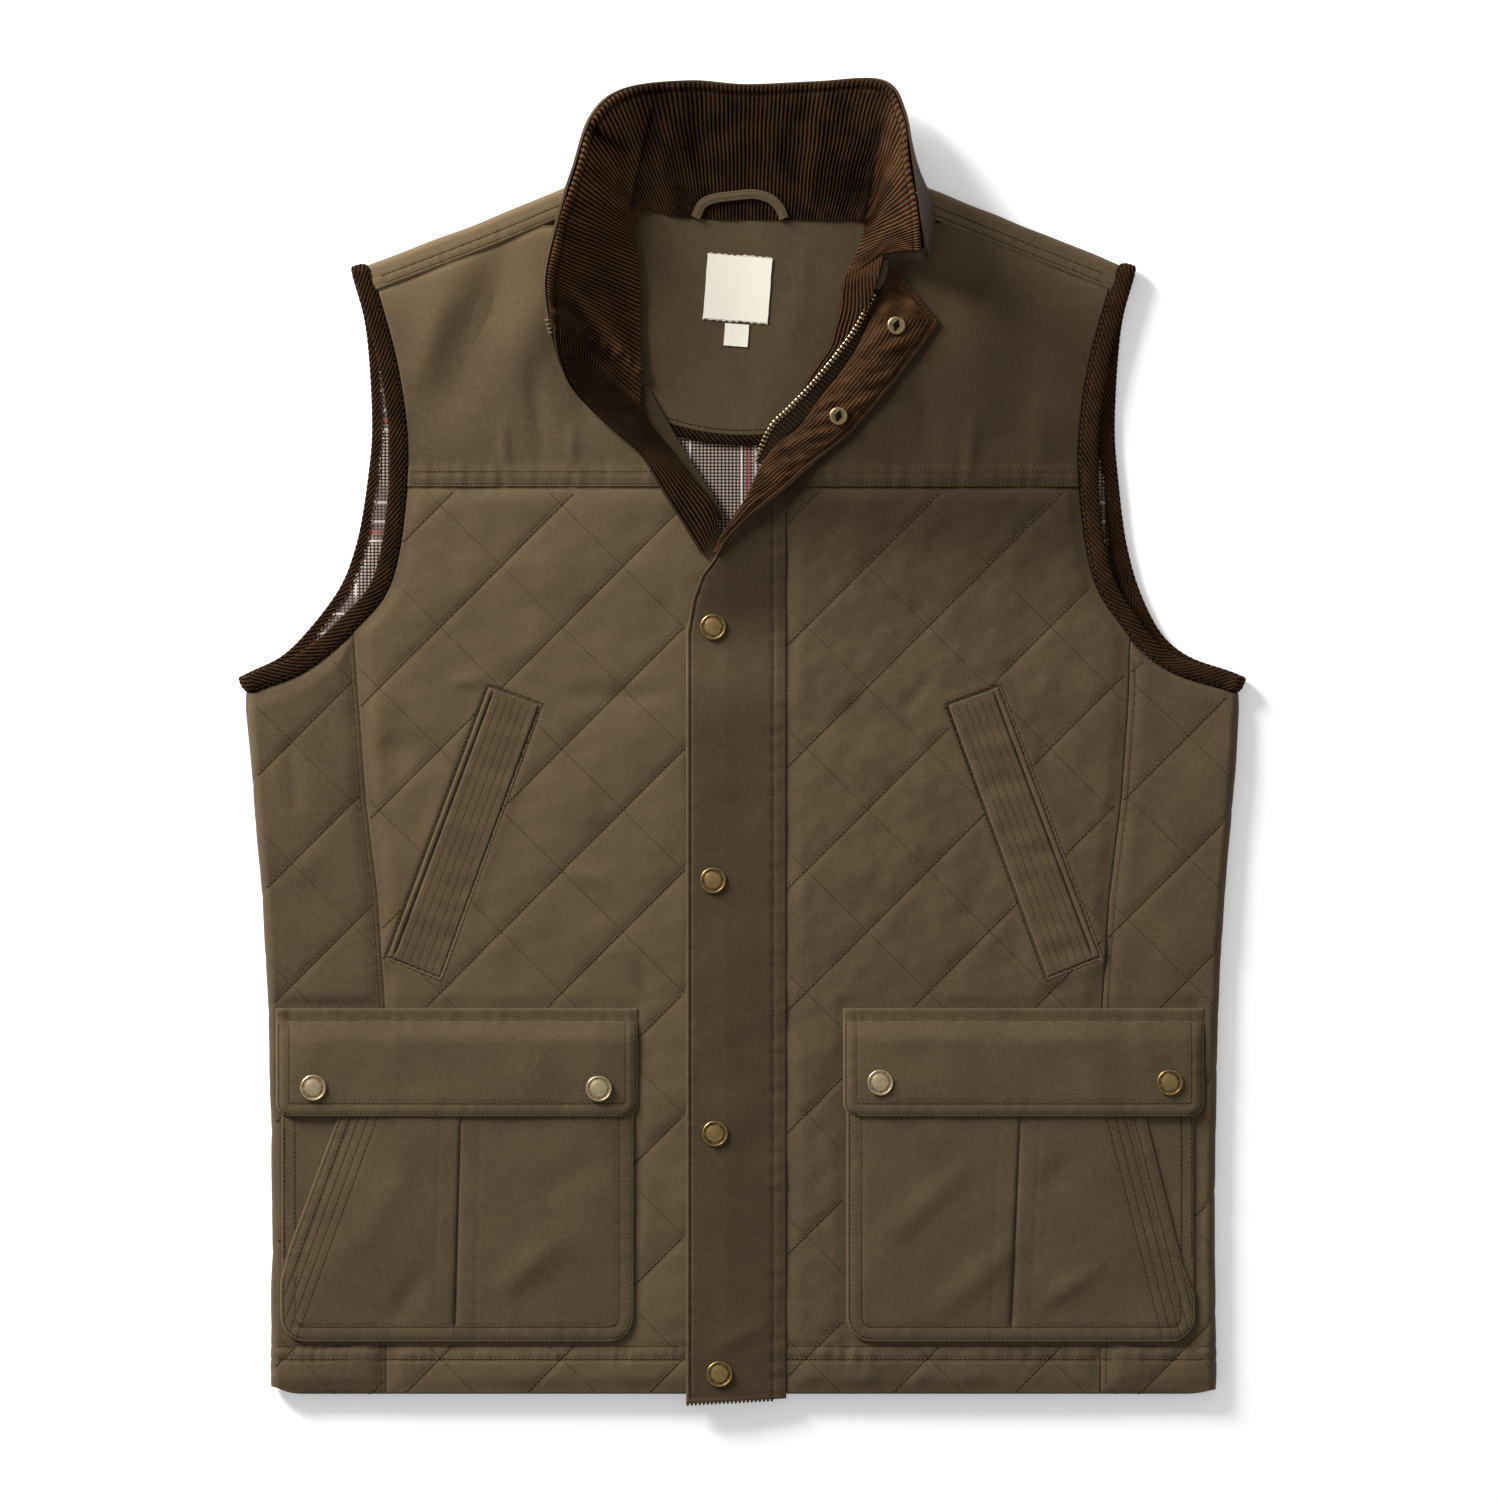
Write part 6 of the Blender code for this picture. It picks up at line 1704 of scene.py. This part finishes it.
# Lapels and facings: corduroy on the inside of both front edges, turned back at the opening so that it shows.
# The cords run along the free edge; a row of stitches and a thin canvas rim finish it.
LAPEL_LEFT = (
    Strip((-23.7, 106.5, 12.2), (-14, 125.5, 12.2), 0.3), Strip((-37, 128, 12.2), (-18.7, 137.4, 11.6), 0.8),
    Strip((-45, 140.6, 12.2), (-24, 144.5, 11.2), 0.8), Strip((-58.5, 163.3, 10.4), (-34, 157, 10.4), 1.2),
    Strip((-71, 175.5, 10.4), (-41, 166, 10.4), 1.5), Strip((-86, 189, 11.5), (-48, 174.5, 10.4), 1.5),
    Strip((-98, 202.5, 15.5), (-53, 181, 10.4)), Strip((-106, 218, 24), (-56.5, 185.5, 10.8), -2.5),
    Strip((-109.7, 235.5, 32), (-58.8, 189.6, 11.0), -4.5),
    Strip((-110.4, 240, 32.6), (-59.2, 194.0, 10.0), -5.2),
)
LAPEL_RIGHT = (
    Strip((-17.6, 108, 14.2), (-15.6, 109.5, 14.2)), Strip((-14.6, 114.5, 14.5), (-9.5, 116.5, 14.5), 0.3),
    Strip((-10, 123, 14.7), (0, 126.8, 14.7), 0.5), Strip((0.9, 139, 14.7), (12, 136, 14.7), 0.5),
    Strip((6.6, 151.8, 14.7), (27.1, 148.4, 14.0), 0.5), Strip((13, 163, 11.5), (40, 160, 11.5), 1.0),
    Strip((20.4, 171, 10.2), (50, 168, 10.4), 2.0), Strip((31.7, 180, 10.2), (61.2, 177.7, 10.4), 2.5),
    Strip((46.0, 199.5, 10.2), (79, 198, 10.4), 3.0), Strip((57.6, 214, 10.2), (91, 213, 10.4), 3.0),
    Strip((66.2, 227.7, 10.2), (102, 227.5, 10.4), 3.0), Strip((72.8, 242, 10.2), (109.8, 238.6, 10.6), 3.0),
    Strip((73.7, 244, 10.2), (111.3, 240.9, 10.6), 3.0), Strip((74.6, 246, 10.2), (110.0, 242.6, 10.6), 3.0),
    Strip((78.5, 256, 10.6), (101.0, 253.2, 10.8), 2.0), Strip((80.3, 267, 11.5), (91.2, 265.6, 11.4), 0.8),
    Strip((81.6, 276.6, 13.0), (83.6, 275.8, 12.8)),
)
FACING_LEFT = (
    Strip((-14.6, 127.1, 8.6), (-11.4, 129, 8.4)), Strip((-24.9, 143.9, 8.6), (-20.6, 146, 8)),
    Strip((-34.9, 156.5, 8.4), (-28.3, 157.5, 7.6)), Strip((-41.9, 165.5, 8.4), (-34.5, 167.5, 7.4)),
    Strip((-48.9, 173.9, 8.4), (-39.5, 176, 7.2)), Strip((-53.9, 180.5, 8.4), (-43.5, 183, 7.2)),
    Strip((-58.9, 189.7, 8.4), (-48.5, 191.5, 7.2)), Strip((-57.6, 204, 8.2), (-55, 203, 7.6)),
)
FACING_RIGHT = (
    Strip((32, 199.6, 8.6), (34.0, 199.4, 9.0)), Strip((42.4, 215, 8.6), (48.4, 215, 10.8)),
    Strip((49.6, 226, 8.9), (57.0, 226, 11.4)), Strip((52.4, 236, 8.8), (63.4, 236, 11.6), 0.5),
    Strip((55.5, 247, 9.4), (71.5, 248, 13.6), 0.5), Strip((56.6, 256.8, 11.4), (77, 263.5, 20.0), -0.8),
    Strip((57.4, 262.5, 12.4), (79.6, 272.5, 22.6), -1.2), Strip((58.8, 267.5, 11.6), (81, 279, 21.6), -2.0),
)
LAPEL_WALL = 2.4
FACING_WALL = 1.2
LAPEL_ROW = 3.2
RIM_OUT = (-0.5, 0.3, 0.8, 1.0)
RIM_LIFT = (1.6, 1.5, 1.1, 0.2)
ZIP_PIPING = (
    Strip((75.4, 260.5, 14.5), (77.4, 259.6, 13.5), 0.3), Strip((76.8, 266, 16.5), (80.4, 264.8, 15.0), 0.8),
    Strip((78.6, 271, 18.5), (82.0, 270.4, 17.0), 0.8), Strip((80.2, 276.5, 20.5), (82.2, 276.2, 19.5), 0.3),
)
LAPELS = (("left", LAPEL_LEFT, 0, 1.4, 130), ("right", LAPEL_RIGHT, -1, 0.9, 80))


def facing_painted_shade(x, y):
    """Painted shade all over the left facing, where the lapel's shadow falls."""
    return 1.0 + 0 * x


def across_ends(grid):
    """Straight width of a strip at each of its rows."""
    return np.linalg.norm(grid[:, -1] - grid[:, 0], axis=1)[:, None]


for word, table, free, step, columns in LAPELS:
    under = band(table, step, columns)
    widths = across_ends(under)
    inset = np.linspace(0, 1, columns)[None, :] * widths
    if free == -1:
        inset = inset[:, ::-1]
    edge = np.minimum(inset, widths - inset)
    lengths = run_lengths(under[:, free])[:, None]
    ribs = cords(inset + 0.3 * drift(lengths, inset * 0.2, 121 + free, 30))
    if word == "right":
        corner = lengths[np.argmax(under[:, free, 0])]
        ribs = np.where((lengths > corner) & (inset < LAPEL_ROW), cords(lengths), ribs)
    rise = LAPEL_WALL - 0.4 + CORD_RISE * (ribs - 0.5) + 0.5 * drift(lengths, inset, 123 + free, 34)
    rise = rise - 0.7 * hump(inset - LAPEL_ROW, 0.8) - rolled(edge, 1.4)
    pile = 0.9 * ribs - 0.2
    if word == "right":
        crumple = drift(0.6 * lengths, inset + 0.5 * lengths, 127, 10) * ease(edge - 2, 6)
        rise = rise + 0.9 * crumple - 0.4 * CORD_RISE * (ribs - 0.5)
        # The right lapel's pile is lighter overall, with painted light on the rises of its crumples and
        # painted shade in their hollows; the last term is random tone.
        pile = 0.45 * ribs + 0.5 + 0.3 * crumple + 0.15 * drift(lengths, inset, 125, 5)
    face = facing(under)
    top = under + face * rise[..., None]
    wall = shell(top, under, edge=pile)
    cloth("lapel_" + word, [wall], CORDUROY, under,
          mark="painted_cord_shade")
    column = np.argmin(np.abs(inset - LAPEL_ROW), axis=1)
    rows = np.arange(len(under))
    sew("lapel_" + word, [top[rows, column][3:-3]], overs=[face[rows, column][3:-3]], thread=DARK_THREAD)
    if word == "right":
        outward = unit(under[:, -1] - under[:, -2])
        strip = under[:, -1, None] + outward[:, None] * np.array(RIM_OUT)[None, :, None]
        rim = shell(strip + np.array(RIM_LIFT)[None, :, None] * [0, 0, 1], strip, coarse=1)
        piece("lapel_right_rim", [rim], CANVAS)
under = band(ZIP_PIPING, 0.8, 7)
piece("zip_piping", [shell(under + facing(under) * FACING_WALL, under)], CANVAS)
under = band(FACING_LEFT, 1.2, 9)
wall = shell(under + facing(under) * FACING_WALL, under)
cloth("facing_left", [wall], CANVAS, under, nap_and_painted_shade=facing_painted_shade)
under = band(FACING_RIGHT, 0.9, 40)
ribs = cords(np.linspace(0, 1, 40)[None, :] * across_ends(under))
top = under + facing(under) * (COLLAR_LINING_WALL - 0.4 + CORD_RISE * (ribs - 0.5))[..., None]
cloth("facing_right", [shell(top, under, edge=ribs)], CORDUROY, under, mark="painted_cord_shade")

# Snaps: stamped brass caps with an aged finish on the placket and flaps, and two open sockets.
# Each is riveted through the cloth; the sockets sit on the turned-back lapel.
CAP_PROFILE = ((0, 1.75, 0.05), (4.6, 1.7, 0.05), (4.8, 1.6, 0.8), (5.0, 1.5, 0.6), (6.3, 1.45, 0.6),
               (6.5, 1.55, 0.5), (6.7, 1.72, 0), (7.1, 1.65, 0), (7.4, 1.2, 0.1), (7.5, 0.8, 0.6),
               (7.5, 0, 0.9), (0, 0, 1))
SOCKET_PROFILE = ((1.5, 0.2, 1), (1.6, 1.1, 0.9), (2.2, 1.35, 0.2), (2.8, 1.2, 0.5), (3.6, 1.15, 0.3),
                  (4.3, 1.4, 0), (4.9, 1.15, 0.1), (5.3, 0.6, 0.3), (5.3, 0, 0.8), (1.5, 0, 1), (1.5, 0.2, 1))
PLACKET_SNAPS = ((-17.5, 65.5), (-17.5, -80.0), (-16.4, -225.4), (-13.8, -363.4))
FLAP_SNAPS = {"left": ((-247, -199), (-83, -199.5)), "right": ((78.5, -196), (244.7, -196))}
KEYHOLE = (7.8, 4.0, 1.0)
# One snap on the right flap is drawn in the darker brass of the placket snaps.
DARK_BRASS_SNAP = ("right", 2)
SOCKETS = ((87.7, 238.5, 15.9), (54.5, 186.5, 15.5))
PLACKET_BRASS = aged_brass("dark_aged_brass", "#AD9260", "#46351C")
FLAP_BRASS = aged_brass("worn_aged_brass", "#DECBA6", "#7A6240")
SOCKET_BRASS = aged_brass("dull_aged_brass", "#BFA77C", "#54422A")


def turned(profile, place, steps=48):
    """A round stamped piece turned from a profile of radius, height and tarnish."""
    profile = np.array(profile)
    angles = np.linspace(0, 2 * math.pi, steps, endpoint=False)[:, None]
    rings = np.stack([profile[:, 0] * np.cos(angles), profile[:, 0] * np.sin(angles),
                      profile[:, 1] + 0 * angles], axis=-1) + place
    index = np.arange(steps * len(profile)).reshape(steps, -1)
    after = np.roll(index, -1, axis=0)
    faces = np.stack([index[:, :-1], index[:, 1:], after[:, 1:], after[:, :-1]], -1).reshape(-1, 4)
    return rings.reshape(-1, 3), faces[:, ::-1].tolist(), np.tile(profile[:, 2], steps)


def set_snap(node, profile, place, metal):
    made = piece(node + "_metal", [turned(profile, place)], metal, mark="hollow")
    solid = bmesh.new()
    solid.from_mesh(made.data)
    bmesh.ops.remove_doubles(solid, verts=solid.verts, dist=0.001 * MM)
    solid.to_mesh(made.data)
    solid.free()
    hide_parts(node)


for number, (x, y) in enumerate(PLACKET_SNAPS, 1):
    set_snap(f"placket_snap_{number}", CAP_PROFILE, (x, y, OVERLAY_Z + PLACKET_WALL), PLACKET_BRASS)
for word, spots in FLAP_SNAPS.items():
    for number, (x, y) in enumerate(spots, 1):
        side = LEFT if word == "left" else RIGHT
        z = float(flap_base(side, np.array(side * x), np.array(y))) + FLAP_WALL
        metal = PLACKET_BRASS if (word, number) == DARK_BRASS_SNAP else FLAP_BRASS
        set_snap(f"flap_snap_{word}_{number}", CAP_PROFILE, (x, y, z), metal)
for number, place in enumerate(SOCKETS, 1):
    set_snap(f"snap_socket_{number}", SOCKET_PROFILE, place, SOCKET_BRASS)
    # Each socket's slot is a near-black solid over it: painted shade of the hole.
    slot_place = np.array([place]) + [0, 0, 1.5]
    slot = scatter(HOLE_BODY, HOLE_FACES, slot_place, np.array([[0.3, 1.0, 0]]),
                   np.array([[0, 0, 1.0]]), KEYHOLE)
    piece(f"snap_socket_{number}_painted_keyhole_shade", [slot], PAINTED_HOLE_SHADE)

# Studio: a white board lit from below, soft daylight all round and one broad lamp low at the upper left.
# The camera looks straight down from high above, as in the photograph.
FLOOR_HALF = 6.0
FLOOR_Z = -0.0003
VIEW_CENTRE = (0.00374, -0.00518)
VIEW_HEIGHT = 8.0
VIEW_WIDTH = 0.8625
SENSOR_MM = 36.0
LAMP_PLACE = (-2.0, 2.0, 1.1)
LAMP_SIZE = (0.9, 1.5)
LAMP_WATTS = 205.0
DAYLIGHT = 0.42


def lit_board(name, colour):
    """White acrylic board lit softly from below: smooth and dull, so that shadows on it stay pale."""
    made, tree, shader, place = plain_material(name)
    patch_mm = 400.0
    patches = add(tree, "TexNoise", {}, {"Vector": place, "Scale": 1 / (patch_mm * MM)})
    tint = add(tree, "Mix", {"data_type": "RGBA"},
               {0: patches, 6: [c * 0.99 for c in linear(colour)[:3]] + [1], 7: linear(colour)})
    feed(tree, shader, {"Base Color": tint.outputs[2], "Roughness": 0.95, "Specular IOR Level": 0.0,
                        "Emission Color": linear(colour), "Emission Strength": 0.28})
    return made


floor_mesh = bpy.data.meshes.new("floor")
floor_corners = [(x * FLOOR_HALF, y * FLOOR_HALF, FLOOR_Z) for x, y in ((-1, -1), (1, -1), (1, 1), (-1, 1))]
floor_mesh.from_pydata(floor_corners, [], [(0, 1, 2, 3)])
floor_mesh.materials.append(lit_board("white_acrylic_board", "#F9F9F9"))
floor = bpy.data.objects.new("floor", floor_mesh)
bpy.context.scene.collection.objects.link(floor)

lamp_data = bpy.data.lights.new("studio_lamp", "AREA")
lamp_data.shape = "RECTANGLE"
lamp_data.size, lamp_data.size_y = LAMP_SIZE
lamp_data.energy = LAMP_WATTS
lamp = bpy.data.objects.new("studio_lamp", lamp_data)
lamp.location = LAMP_PLACE
lamp.rotation_euler = Vector(LAMP_PLACE).to_track_quat("Z", "Y").to_euler()
bpy.context.scene.collection.objects.link(lamp)

world = bpy.data.worlds.new("studio_daylight")
world.use_nodes = True
world.node_tree.nodes["Background"].inputs["Color"].default_value = linear("#FFFFFF")
world.node_tree.nodes["Background"].inputs["Strength"].default_value = DAYLIGHT
bpy.context.scene.world = world
bpy.context.scene.view_settings.view_transform = "Standard"

camera_data = bpy.data.cameras.new("overhead_camera")
camera_data.sensor_width = SENSOR_MM
camera_data.lens = SENSOR_MM * VIEW_HEIGHT / VIEW_WIDTH
camera_data.clip_end = 100.0
camera = bpy.data.objects.new("overhead_camera", camera_data)
camera.location = (*VIEW_CENTRE, VIEW_HEIGHT)
bpy.context.scene.collection.objects.link(camera)
bpy.context.scene.camera = camera

bpy.context.view_layer.update()
